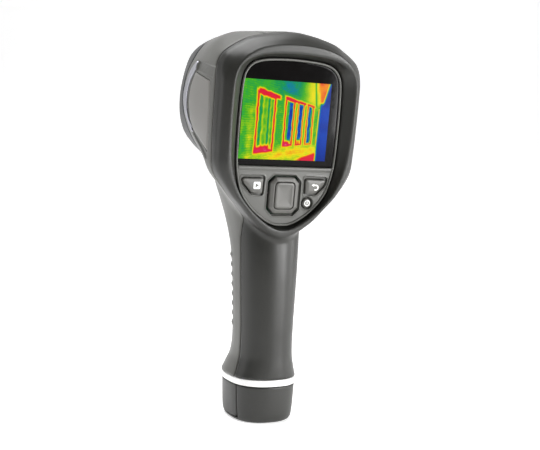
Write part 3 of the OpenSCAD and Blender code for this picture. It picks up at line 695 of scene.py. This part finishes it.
nail = np.sqrt(((fine.X - 1) / 9.0) ** 2 + ((fine.Y + 21) / 5) ** 2 + ((fine.Z - 244.2) / 2.3) ** 2) - 1
cov = smax(cov, -nail * F32(1.9), 0.5)
put(surface(fine, blur(cov, 0.3 / fine.h), "usb_cover_skin"), "usb_cover", "grey_plastic", "usb_cover")
del fine, hd, cov

# ------------------------------------------------------------------ nose
nv = Vol((-47, 25, 155), (47, 88, 246), HR)
n0 = nv.mesh(nose_mesh(), 5)
n1 = nv.mesh(nose_mesh(3, -3, 1.3), 5)
mo = full(MOUTH, 8)
ring = lambda y, f=1.0: place(np.stack([mo[:, 0] * f, np.full(len(mo), y), mo[:, 1] * f], 1), BARREL_F)
mouth = nv.mesh(tube([ring(64), ring(70, 1.0), ring(76, 1.06), ring(84, 1.2), ring(94, 1.4)]), 5)
b = smax(n0, -n1, 0.6)
b = smax(b, -mouth, 1.6)
put(surface(nv, blur(b, 0.8 / HR), "front_bumper_skin"), "housing", "bumper_rubber", "front_bumper")

# ------------------------------------------------------------------ parts rounded from their CAD shape
def rounded(node, h, r, body, slot, band=2.5, frame=WORLD_F, extra=None):
    VF = node_mesh(node)
    loc = unplace(VF[0], frame)
    v = Vol(loc.min(0) - 0.5, loc.max(0) + 0.5, h, frame)
    a = v.mesh(VF, band)
    if extra:
        a = extra(v, a)
    return put(surface(v, blur(a, r / h), node + "_skin"), body, slot, node)


def foot_tool(kind):
    def f(v, a):
        form = v.mesh(stack_mesh(FOOT), 6)
        if kind == "foot":
            ring = np.maximum(v.box((-30, -6.85, 2.25), (30, 20.15, FOOT_H + 1), 0.0), -v.mesh(stack_mesh(FOOT, 4.4, -1, 2), 6))
            b = np.maximum(form, -ring)
            for s in (-1, 1):
                b = np.maximum(b, -v.rod("X", (0, 7, 11), 3, *((11, 18.5) if s > 0 else (-18.5, -11))))
                b = np.maximum(b, -v.box((s * 16.6 - 3.4, 1.4, FOOT_H - 5.3), (s * 16.6 + 3.4, 12.6, FOOT_H + 3)))
            return b
        form = np.maximum(form, -v.mesh(stack_mesh(FOOT, 2.4, -2, 2), 6))
        q = v.poly([(-6.5, FOOT_H + 1), (-6.5, 4.6), (-5.6, 3.1), (-4.4, 2.6), (17.6, 2.6), (19.0, 3.2), (19.8, 4.6), (19.8, FOOT_H + 1)], "yz")
        b = np.maximum(np.maximum(form, q), v.Z - F32(FOOT_H))
        s = -1 if v.x.mean() < 0 else 1
        hook = np.minimum(v.box((s * 17.4 - 1.9, 2, FOOT_H - 4.5), (s * 17.4 + 1.9, 12, FOOT_H - 2.1)), v.box((s * 16.3 - 0.8, 2, FOOT_H - 4.5), (s * 16.3 + 0.8, 12, FOOT_H + 1.9)))
        return np.minimum(b, hook)
    return f


rounded("battery_foot", 0.35, 0.4, "battery", "foot_plastic", extra=foot_tool("foot"))
for tag in ("left", "right"):
    rounded("battery_latch_" + tag, 0.3, 0.3, "battery_latch_" + tag, "foot_plastic", extra=foot_tool("latch"))


def ring_tool(v, a):
    o = v.mesh(tube([oval(z, 21.2 + 0.2 * k, -21.9 - 0.1 * k, 31.9 + 0.1 * k) for k, z in ((0, FOOT_H + GAP), (0.5, 25.8), (1, RING_TOP - 0.1))]), 4)
    i = v.mesh(tube([oval(z, 21.2, -21.9, 31.8, d=2.6) for z in (FOOT_H - 1, RING_TOP + 1)]), 4)
    return np.maximum(o, -i)


rounded("handle_ring", 0.35, 0.35, "housing", "pale_ring", extra=ring_tool)
rounded("trigger", 0.3, 1.0, "trigger", "trigger_plastic")
rounded("nose_plate", 0.4, 0.3, "housing", "black_plastic", frame=BARREL_F)
rounded("lens_cover", 0.3, 0.25, "lens_cover", "black_plastic", frame=BARREL_F)

# ------------------------------------------------------------------ display pane, in its own axes
PH = 0.25
pv = Vol((-36.5, -3, -63), (36.5, 4.5, 43), PH, PANE_F)
pane_d = pv.poly(pane_p, "xz")
bead_c = pane_d + F32(0.95)  # bead of the frame, all round
bead = np.sqrt(bead_c ** 2 * 1.0 + ((pv.Y - F32(0.15)) * F32(0.9)) ** 2) - F32(0.78)
bead = smin(bead, np.maximum(np.abs(bead_c) - F32(0.62), np.abs(pv.Y - F32(1.0)) - F32(1.0)), 0.2)
put(surface(pv, blur(bead, 0.8), "pane_frame"), "housing", "keypad_plastic")

glass = np.maximum(np.maximum(pane_d + F32(1.85), np.abs(pv.Y - F32(0.95)) - F32(0.85)), F32(GLASS_LOW + 0.1) - pv.Z)
put(surface(pv, blur(glass, 0.8), "display_window_skin"), "housing", "display_glass", "display_window")

KEY_HOLE = [[-27.4,-31.5],[-15.6,-31.5],[-14.7,-32.4],[-14.7,-40],[-15.6,-40.9],[-22.1,-40.9],[-27.9,-35.1],[-27.9,-32]]
RECESS_L = [[-28.5, -30.2], [-14.1, -30.2], [-14.1, -41.5], [-22.4, -41.5], [-28.5, -35.8]]
KEY_L = [[-27.6, -31.8], [-15.0, -31.8], [-15.0, -40.6], [-21.9, -40.6], [-27.6, -34.8]]
mirror = lambda P: [[-a, b] for a, b in P]


def rrect(cx, cy, w, h, c, k=6):
    pts = []
    for sx, sy, a0 in ((1, 1, 0), (-1, 1, 90), (-1, -1, 180), (1, -1, 270)):
        for j in range(k + 1):
            a = rad(a0 + 90 * j / k)
            pts.append([cx + sx * (w / 2 - c) + c * math.cos(a), cy + sy * (h / 2 - c) + c * math.sin(a)])
    return pts


def soft(v, P, r):
    """Field of an outline with its corners rounded to r."""
    return v.poly(grown(P, -r), "xz") - F32(r)


def octagon(cx, cy, w, h, c):
    return [[cx + sx * a, cy + sy * b] for sx, sy, first in ((1, 1, 0), (-1, 1, 1), (-1, -1, 0), (1, -1, 1))
            for a, b in (((w / 2, h / 2 - c), (w / 2 - c, h / 2)) if not first else ((w / 2 - c, h / 2), (w / 2, h / 2 - c)))]


plate = np.maximum(np.maximum(pane_d + F32(1.5), np.abs(pv.Y - F32(1.1)) - F32(1.1)), pv.Z - F32(GLASS_LOW - 0.3))
# a raised bar under the glass, ending in a fine groove
bar = np.maximum(np.sqrt((pv.Z - F32(-25.6)) ** 2 * F32(0.42) + (pv.Y - F32(0.35)) ** 2) - F32(0.85), pane_d + F32(1.6))
plate = smin(plate, bar, 0.25)
for m in (lambda P: P, mirror):
    d = soft(pv, m(RECESS_L), 1.8)
    lip = np.sqrt((d - F32(0.25)) ** 2 + (pv.Y - F32(0.05)) ** 2) - F32(0.42)
    plate = smin(plate, lip, 0.3)
    plate = smax(plate, -np.maximum(d, pv.Y - F32(1.3)), 0.3)
    plate = np.maximum(plate, -pv.poly(m(KEY_HOLE), "xz") + 0 * pv.Y)
d = soft(pv, octagon(0.2, -42, 22.6, 25.4, 4.4), 1.4)
lip = np.sqrt((d - F32(0.3)) ** 2 + (pv.Y - F32(0.05)) ** 2) - F32(0.45)
plate = smin(plate, lip, 0.3)
plate = smax(plate, -np.maximum(d, pv.Y - F32(1.3)), 0.4)
plate = np.maximum(plate, -pv.poly(rrect(0.2, -42, 21, 24, 4.6), "xz") + 0 * pv.Y)
d = np.sqrt((pv.X - F32(16.8)) ** 2 + (pv.Z + F32(46.6)) ** 2)
plate = smin(plate, np.sqrt((d - F32(4.3)) ** 2 + (pv.Y - F32(0.05)) ** 2) - F32(0.4), 0.3)
plate = smax(plate, -np.maximum(d - F32(4.0), pv.Y - F32(1.3)), 0.3)
plate = np.maximum(plate, -(d - F32(3.35)) + 0 * pv.Y)
put(surface(pv, blur(plate, 0.8), "keypad_plate_skin"), "housing", "keypad_plastic", "keypad_plate")


def key_piece(node, body, P, F, lo, hi, top, r=0.5, dish=0.0, slot="key_rubber"):
    v = Vol((lo[0], -3.2, lo[1]), (hi[0], 4, hi[1]), 0.2, PANE_F)
    d = soft(v, P, 1.2)
    a = smax(d, F32(top) - v.Y + np.maximum(d + F32(2.2), 0) * F32(0.25), r * 1.6)
    a = np.maximum(a, v.Y - F32(2.6))
    if F is not None:
        a = np.minimum(a, np.maximum(v.poly(F, "xz"), np.abs(v.Y - F32(2.82)) - F32(0.28)))
    return put(surface(v, blur(a, 0.9), node + "_skin"), body, slot, node)


KEY_LF = [[-28.6,-30.6],[-13.8,-30.6],[-13.8,-41.8],[-22.5,-41.8],[-28.6,-35.7]]
key_piece("archive_button", "archive_button", KEY_L, KEY_LF, (-30, -43), (-12, -29), -1.1)
key_piece("back_button", "back_button", mirror(KEY_L), mirror(KEY_LF), (12, -43), (30, -29), -1.1)
circle = lambda cx, cy, r, n=48: [[cx + r * math.cos(2 * math.pi * i / n), cy + r * math.sin(2 * math.pi * i / n)] for i in range(n)]
key_piece("power_button", "power_button", circle(16.8, -46.6, 3), circle(16.8, -46.6, 4), (11, -52), (22, -41), -0.5)

v = Vol((-11, -3.5, -55), (11.4, 4, -29), 0.22, PANE_F)
o, i = soft(v, octagon(0.2, -42, 19.8, 22.8, 3.9), 1.4), v.poly(rrect(0.2, -42, 13.6, 17.0, 2.4), "xz")
top = F32(-1.5) + np.maximum(o + F32(2.4), 0) * F32(0.42)
a = np.maximum(smax(o, top - v.Y, 0.8), v.Y - F32(2.3))
a = smax(a, -i + 0 * v.Y, 0.4)
put(surface(v, blur(a, 0.9), "nav_ring_skin"), "nav_ring", "key_rubber", "nav_ring")
i = v.poly(rrect(0.2, -42, 13, 16.4, 2.2), "xz")
u, w = (v.X - F32(0.2)) / 6.5, (v.Z + 42) / 8.2
dish = F32(-2.2) + F32(0.75) * np.clip(1 - np.maximum(np.abs(u), np.abs(w)) ** 3, 0, 1) + np.maximum(i + F32(1.4), 0) * F32(0.4)
a = np.maximum(smax(i, dish - v.Y, 0.7), v.Y - F32(2.1))
put(surface(v, blur(a, 0.9), "nav_key_skin"), "nav_key", "key_rubber", "nav_key")

# ------------------------------------------------------------------ marks on the keys
def mark(name, body, strokes, y, thick=0.18):
    """strokes: list of (level function of u, w grids)"""
    lo, hi = strokes[1], strokes[2]
    v = Vol((lo[0], y - 0.35, lo[1]), (hi[0], y + 0.6, hi[1]), 0.09, PANE_F)
    d = strokes[0](*np.broadcast_arrays(v.X, v.Z))
    a = np.maximum(d.astype(F32), np.abs(v.Y - F32(y)) - F32(thick))
    o = surface(v, blur(a, 0.6), name)
    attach(o, body)
    o.data.materials.clear()
    o.data.materials.append(MATS["mark"])


def seg(X, Z, a, b, r):
    ax, az, bx, bz = *a, *b
    ex, ez = bx - ax, bz - az
    t = np.clip(((X - ax) * ex + (Z - az) * ez) / (ex * ex + ez * ez), 0, 1)
    return np.sqrt((X - ax - t * ex) ** 2 + (Z - az - t * ez) ** 2) - r


def play(X, Z):
    X, Z = X + 18.9, Z + 36.0
    q = np.maximum(np.abs(X) - 1.55, 0) ** 2 + np.maximum(np.abs(Z) - 1.45, 0) ** 2
    sq = np.sqrt(q) - 0.75
    tri = np.maximum.reduce([-(X + 0.95), 0.5 * (X - 1.3) + 0.866 * Z, 0.5 * (X - 1.3) - 0.866 * Z])
    return np.maximum(sq, -tri)


def back(X, Z):
    X, Z = X - 21.4, Z + 36.2
    arc = np.where(X > 0.3, np.abs(np.sqrt((X - 0.3) ** 2 + (Z + 0.35) ** 2) - 1.45), 9.0) - 0.42
    top = seg(X, Z, (-1.2, 1.1), (0.3, 1.1), 0.42)
    low = seg(X, Z, (-0.4, -1.8), (0.3, -1.8), 0.42)
    tri = np.maximum.reduce([-(X + 2.9) * 0.5 - 0.866 * (Z - 1.1) * 1.0, -(X + 2.9) * 0.5 + 0.866 * (Z - 1.1), X + 1.1])
    return np.minimum.reduce([arc, top, low, tri])


def power(X, Z):
    X, Z = X - 16.8, Z + 46.6
    ring = np.abs(np.sqrt(X ** 2 + Z ** 2) - 1.65) - 0.36
    return np.minimum(ring, seg(X, Z, (0, -0.5), (0, 0.75), 0.32))


mark("archive_mark", "archive_button", (play, (-22, -39.2), (-15.8, -32.8)), -1.02)
mark("back_mark", "back_button", (back, (17.4, -39.2), (24.6, -33.2)), -1.02)
mark("power_mark", "power_button", (power, (14.2, -49.2), (19.4, -44.0)), -0.42)

# ------------------------------------------------------------------ the picture
U0, U1, W0, W1 = -32.4, 26.7, -20.1, 27.55
nx, nz = ((420, 336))
gu, gw = np.meshgrid(np.linspace(0, 1, nx), np.linspace(0, 1, nz), indexing="ij")
rng = np.random.RandomState(11)


def value_noise(gx, gz, cells_x, cells_z):
    """Smooth seeded noise from 0 to 1 on a lattice."""
    lat = rng.rand(cells_x + 2, cells_z + 2)
    x, z = np.clip(gx, 0, 1) * cells_x, np.clip(gz, 0, 1) * cells_z
    i, j = np.minimum(x.astype(int), cells_x), np.minimum(z.astype(int), cells_z)
    a, b = x - i, z - j
    a, b = a * a * (3 - 2 * a), b * b * (3 - 2 * b)
    return (lat[i, j] * (1 - a) * (1 - b) + lat[i + 1, j] * a * (1 - b) + lat[i, j + 1] * (1 - a) * b + lat[i + 1, j + 1] * a * b)


def step(x, w=0.006):
    return 1 / (1 + np.exp(-np.clip(x / w, -30, 30)))


def over(T, mask, value):
    return T * (1 - mask) + value * mask


wob = 0.010 * (value_noise(gu, gw, 26, 22) - 0.5)
S = gu + wob
Vv = (gw - 0.44) / (1.06 - 0.42 * gu) + wob  # the wall recedes to the right
T = 0.47 + 0.09 * (value_noise(gu, gw, 6, 5) - 0.5) + 0.10 * (value_noise(gu, gw, 22, 18) - 0.5) + 0.05 * (value_noise(gu, gw, 70, 56) - 0.5)
T += 0.022 * np.sin(2 * np.pi * Vv * 34) * (0.4 + value_noise(gu, gw, 12, 10))
T += 0.17 * np.exp(-((Vv + 0.40) / 0.10) ** 2) * step(gu - 0.30, 0.06) + 0.10 * np.exp(-((gu - 0.10) / 0.04) ** 2) * step(0.2 - Vv, 0.05)
T -= 0.17 * step(Vv - 0.44, 0.03) * np.exp(-((gu - 0.52) / 0.20) ** 2)  # cool patch under the eaves
T += 0.10 * step(-(Vv + 0.40), 0.02)  # warm plinth


def window(T, s0, s1, v0, v1, hot, panes, lean_top=0.0):
    w = s1 - s0
    vt = v1 - lean_top * (S - s0) / w
    f = min(max(0.13 * w, 0.009), 0.017)
    d = np.maximum.reduce([s0 - S, S - s1, (v0 - Vv) * 0.55, (Vv - vt) * 0.55])
    glow = np.exp(-(np.maximum(d, 0) / 0.018) ** 2)
    T = np.where((d > -0.01) & (d < 0.05), np.maximum(T, 0.38 + 0.34 * glow), T)
    p = (S - s0) / w
    pane_t = 0.74 + 0.10 * (value_noise(gu, gw, 24, 20) - 0.5)
    for a, b, t in panes:
        m = step(p - a, 0.025) * step(b - p, 0.025)
        pane_t = over(pane_t, m, t + 0.12 * (value_noise(gu, gw, 30, 24) - 0.5))
    T = over(T, step(-d, 0.0025), hot + 0.05 * (value_noise(gu, gw, 30, 30) - 0.5))
    T = over(T, step(-(d + f), 0.0025), 0.72)
    return over(T, step(-(d + 1.45 * f), 0.0025), pane_t)


T = window(T, 0.165, 0.375, -0.37, 0.43, 0.90, [(0.12, 0.30, 0.36), (0.36, 0.56, 0.50), (0.60, 0.70, 0.24), (0.76, 0.90, 0.42)], 0.05)
T = window(T, 0.485, 0.592, -0.31, 0.41, 0.90, [(0.12, 0.40, 0.46), (0.42, 0.90, 0.12)], 0.03)
T = window(T, 0.632, 0.700, -0.305, 0.385, 0.90, [(0.14, 0.86, 0.13)], 0.02)
T = window(T, 0.740, 0.815, -0.31, 0.375, 0.89, [(0.20, 0.60, 0.15), (0.60, 0.82, 0.34)], 0.02)
for s0, s1, vt, th in ((0.175, 0.43, 0.475, 0.062), (0.485, 0.635, 0.44, 0.052), (0.640, 0.725, 0.41, 0.045), (0.745, 0.83, 0.395, 0.04)):
    head_v = vt - 0.20 * (S - s0)
    m = step(S - s0) * step(s1 - S) * step(Vv - (head_v - th)) * step(head_v - Vv)
    T = over(T, m, 0.90 + 0.04 * (value_noise(gu, gw, 24, 20) - 0.5))
for s0, s1, v0 in ((0.17, 0.33, -0.365), (0.49, 0.57, -0.305), (0.635, 0.69, -0.30)):
    m = step(S - s0, 0.01) * step(s1 - S, 0.01) * step(Vv - v0, 0.012) * step(v0 + 0.07 + 0.15 * (S - s0) - Vv, 0.012)
    T = over(T, m, 0.93 + 0.08 * value_noise(gu, gw, 20, 16))
# eaves and their warm edge, then the cold sky beyond the corner of the wall
eave = step(gu - (0.70 + 0.10 * (1 - gw)), 0.03) * step(gw - (0.70 + 0.5 * (0.84 - gu) * (gu < 0.84)), 0.012)
T = over(T, eave, 0.66 + 0.10 * (value_noise(gu, gw, 14, 12) - 0.5) - 0.22 * np.exp(-((gu - 0.815 - 0.10 * (1 - gw)) / 0.010) ** 2))
warm = step(gu - (0.855 + 0.14 * (1 - gw)), 0.006) * step(gw - (0.715 + 0.03 * gu), 0.006)
T = over(T, warm, 0.80 + 0.12 * (value_noise(gu, gw, 18, 16) - 0.4))
corner = 0.895 - 0.015 * (1 - gw)
sky = step(gu - corner, 0.004) * step(0.735 - gw, 0.008)
T = over(T, sky, 0.07 + 0.05 * value_noise(gu, gw, 5, 9) - 0.05 * step(0.16 - gw, 0.04))
top_sky = step(gu - (0.955 + 0.22 * (gw - 0.86)), 0.005) * step(gw - 0.70, 0.01)
T = over(T, top_sky, 0.05)
T = np.maximum(T, (0.86 * np.exp(-((gu - corner + 0.012) / 0.010) ** 2)) * step(0.68 - gw, 0.01) * step(gw - 0.12, 0.03) * (0.80 + 0.25 * value_noise(gu, gw, 6, 16)))
red = step(gu - 0.66, 0.02) * step(0.875 - gu, 0.006) * step(0.02 + 0.42 * (gu - 0.66) - gw, 0.006)
T = over(T, red, 0.90)
T = np.clip(T, 0.0, 1.0)

y0 = 0.065
P = np.stack([U0 + (U1 - U0) * gu, np.full(gu.shape, y0), W0 + (W1 - W0) * gw], 2).reshape(-1, 3)
I = np.arange(nx * nz).reshape(nx, nz)
quads = np.stack([I[:-1, :-1], I[1:, :-1], I[1:, 1:], I[:-1, 1:]], 2).reshape(-1, 4)
loop = np.concatenate([I[:, 0], I[-1, 1:], I[-2::-1, -1], I[0, -2:0:-1]])
back_v = P[loop] + [0, 0.2, 0]
nb = len(loop)
bi = np.arange(nb) + nx * nz
sides = np.stack([loop, bi, np.roll(bi, -1), np.roll(loop, -1)], 1)
V = place(np.concatenate([P, back_v, [[(U0 + U1) / 2, y0 + 0.2, (W0 + W1) / 2]]]), PANE_F)
me = bpy.data.meshes.new("lcd_picture")
tri = [(int(a), len(V) - 1, int(b)) for a, b in zip(bi, np.roll(bi, -1))]
me.from_pydata((V * 0.001).tolist(), [], [tuple(q) for q in quads.tolist()] + [tuple(q) for q in sides.tolist()] + tri)
me.update()
at = me.attributes.new("warmth", "FLOAT", "POINT")
at.data.foreach_set("value", np.concatenate([T.reshape(-1), T.reshape(-1)[loop], [0.5]]).astype(F32))
pic = bpy.data.objects.new("lcd_picture", me)
bpy.context.scene.collection.objects.link(pic)
put(pic, "housing", "display_panel", "lcd_panel")

# ------------------------------------------------------------------ turned parts of the lens, about the barrel axis
def lathe(name, profile, up, body, slot, *nodes, n=160):
    a = 2 * np.pi * np.arange(n) / n
    m = len(profile)
    ringv = np.array([[[r * math.cos(t), y, up + r * math.sin(t)] for r, y in profile] for t in a]).reshape(-1, 3)
    i = np.arange(n)[:, None]
    j = np.arange(m)[None, :]
    A, B = i * m + j, i * m + (j + 1) % m
    C, D = ((i + 1) % n) * m + (j + 1) % m, ((i + 1) % n) * m + j
    Q = np.stack([A + 0 * B, B, C, D], 2).reshape(-1, 4)
    V = place(ringv, BARREL_F)
    q = V[Q]
    c = np.cross(q[:, 1] - q[:, 0], q[:, 2] - q[:, 0])
    if (np.einsum("ij,ij->i", q[:, 0], c)).sum() < 0:
        Q = Q[:, ::-1]
    o = make_mesh(name, V, Q)
    md = o.modifiers.new("edges", "EDGE_SPLIT")
    md.split_angle = rad(38)
    return put(o, body, slot, *nodes)


lathe("lens_barrel_turned", [(9, 37.2), (9, 58), (10.8, 58), (10.8, 64.2), (11.2, 64.6), (12.2, 64.6), (12.6, 64.2)] + [p for k in range(7) for p in ((12.6, 62.5 - 2.6 * k), (12.0, 62.1 - 2.6 * k), (12.0, 61.4 - 2.6 * k), (12.6, 61.0 - 2.6 * k))]
      + [(12.6, 41.4), (14.6, 41), (15, 40.6), (15, 38.4), (14.6, 38), (9.4, 38 - 0.8)], LENS_UP, "housing", "aluminium", "lens_barrel")
lathe("infrared_lens_turned", [(0.02, 58.2), (10.2, 58.2), (10.6, 58.6), (10.6, 60.4)] + [(10.6 * math.cos(rad(a)), 60.4 + 1.9 * math.sin(rad(a))) for a in range(5, 90, 5)] + [(0.02, 62.3)], LENS_UP, "housing", "germanium", "infrared_lens")
lathe("lens_ring_turned", [(9.2, 63.7), (9.5, 63.4), (10.35, 63.4), (10.55, 63.6), (10.55, 64.4), (10.35, 64.6), (9.7, 64.6), (9.2, 64.2)], LENS_UP, "housing", "core_metal", "lens_ring")
lathe("camera_window_turned", [(0.02, 68.2), (3.9, 68.2), (4.0, 68.3), (4.0, 69.2), (3.8, 69.4), (0.02, 69.4)], CAM_UP, "housing", "clear_window", "camera_window")

# ------------------------------------------------------------------ stage, light, camera
def stage_material():
    m = bpy.data.materials.new("stage_paper")
    m.use_nodes = True
    b = m.node_tree.nodes["Principled BSDF"]
    b.inputs["Base Color"].default_value = (0.93, 0.93, 0.93, 1)
    b.inputs["Roughness"].default_value = 0.85
    b.inputs["Specular IOR Level"].default_value = 0.1
    b.inputs["Emission Color"].default_value = (1, 1, 1, 1)
    b.inputs["Emission Strength"].default_value = 0.50
    return m


prof = [(-1.0, 0.0), (1.2, 0.0)] + [(1.2 + 0.9 * math.sin(rad(a)), 0.9 - 0.9 * math.cos(rad(a))) for a in range(5, 91, 5)] + [(2.1, 4.0)]
ca, sa = math.cos(rad(-26.28)), math.sin(rad(-26.28))
sv, sf = [], []
for k, (d, z) in enumerate(prof):
    for s in (-4.0, 4.0):
        sv.append((s * ca - d * sa, s * sa + d * ca, z))
    if k:
        sf.append((2 * k - 2, 2 * k - 1, 2 * k + 1, 2 * k))
sm = bpy.data.meshes.new("stage_sweep")
sm.from_pydata(sv, [], sf)
sm.polygons.foreach_set("use_smooth", [True] * len(sf))
sweep = bpy.data.objects.new("stage_sweep", sm)
sm.materials.append(stage_material())
bpy.context.scene.collection.objects.link(sweep)

world = bpy.data.worlds.new("studio")
bpy.context.scene.world = world
world.use_nodes = True
world.node_tree.nodes["Background"].inputs[0].default_value = (1, 1, 1, 1)
world.node_tree.nodes["Background"].inputs[1].default_value = 0.05


def softbox(name, direction, dist, size, power, target=(0, 0, 0.14), colour=(1, 1, 1)):
    l = bpy.data.lights.new(name, "AREA")
    l.shape = "RECTANGLE"
    l.size, l.size_y = size
    l.energy = power
    l.color = colour
    o = bpy.data.objects.new(name, l)
    from mathutils import Vector
    d = Vector(direction).normalized()
    o.location = Vector(target) + d * dist
    o.rotation_euler = d.to_track_quat("Z", "Y").to_euler()
    bpy.context.scene.collection.objects.link(o)


softbox("key_left", (-1.0, 0.40, 0.35), 1.1, (0.3, 1.0), 2.4)
softbox("strip_right", (0.56, -0.83, 0.05), 1.1, (0.13, 1.0), 18)
softbox("side_right", (1.0, -0.35, 0.15), 1.1, (0.3, 0.8), 6)
softbox("top", (-0.15, 0.15, 1.0), 1.1, (0.9, 0.9), 17)

az, pi_, ro = rad(26.28), rad(3.99), rad(2.18)
fwd = np.array([math.sin(az) * math.cos(pi_), math.cos(az) * math.cos(pi_), -math.sin(pi_)])
right = np.array([math.cos(az), -math.sin(az), 0.0])
up = np.cross(right, fwd)
r2, u2 = math.cos(ro) * right + math.sin(ro) * up, -math.sin(ro) * right + math.cos(ro) * up
cam = bpy.data.cameras.new("camera")
cam.sensor_fit, cam.sensor_width, cam.lens = "HORIZONTAL", 36.0, 67.80
cam.clip_start, cam.clip_end = 0.01, 50
co = bpy.data.objects.new("camera", cam)
M = Matrix.Identity(4)
for i in range(3):
    M[i][0], M[i][1], M[i][2] = r2[i], u2[i], -fwd[i]
M[0][3], M[1][3], M[2][3] = -0.2831, -0.5790, 0.1683
co.matrix_world = M
bpy.context.scene.collection.objects.link(co)
bpy.context.scene.camera = co
bpy.context.scene.view_settings.view_transform = "Standard"
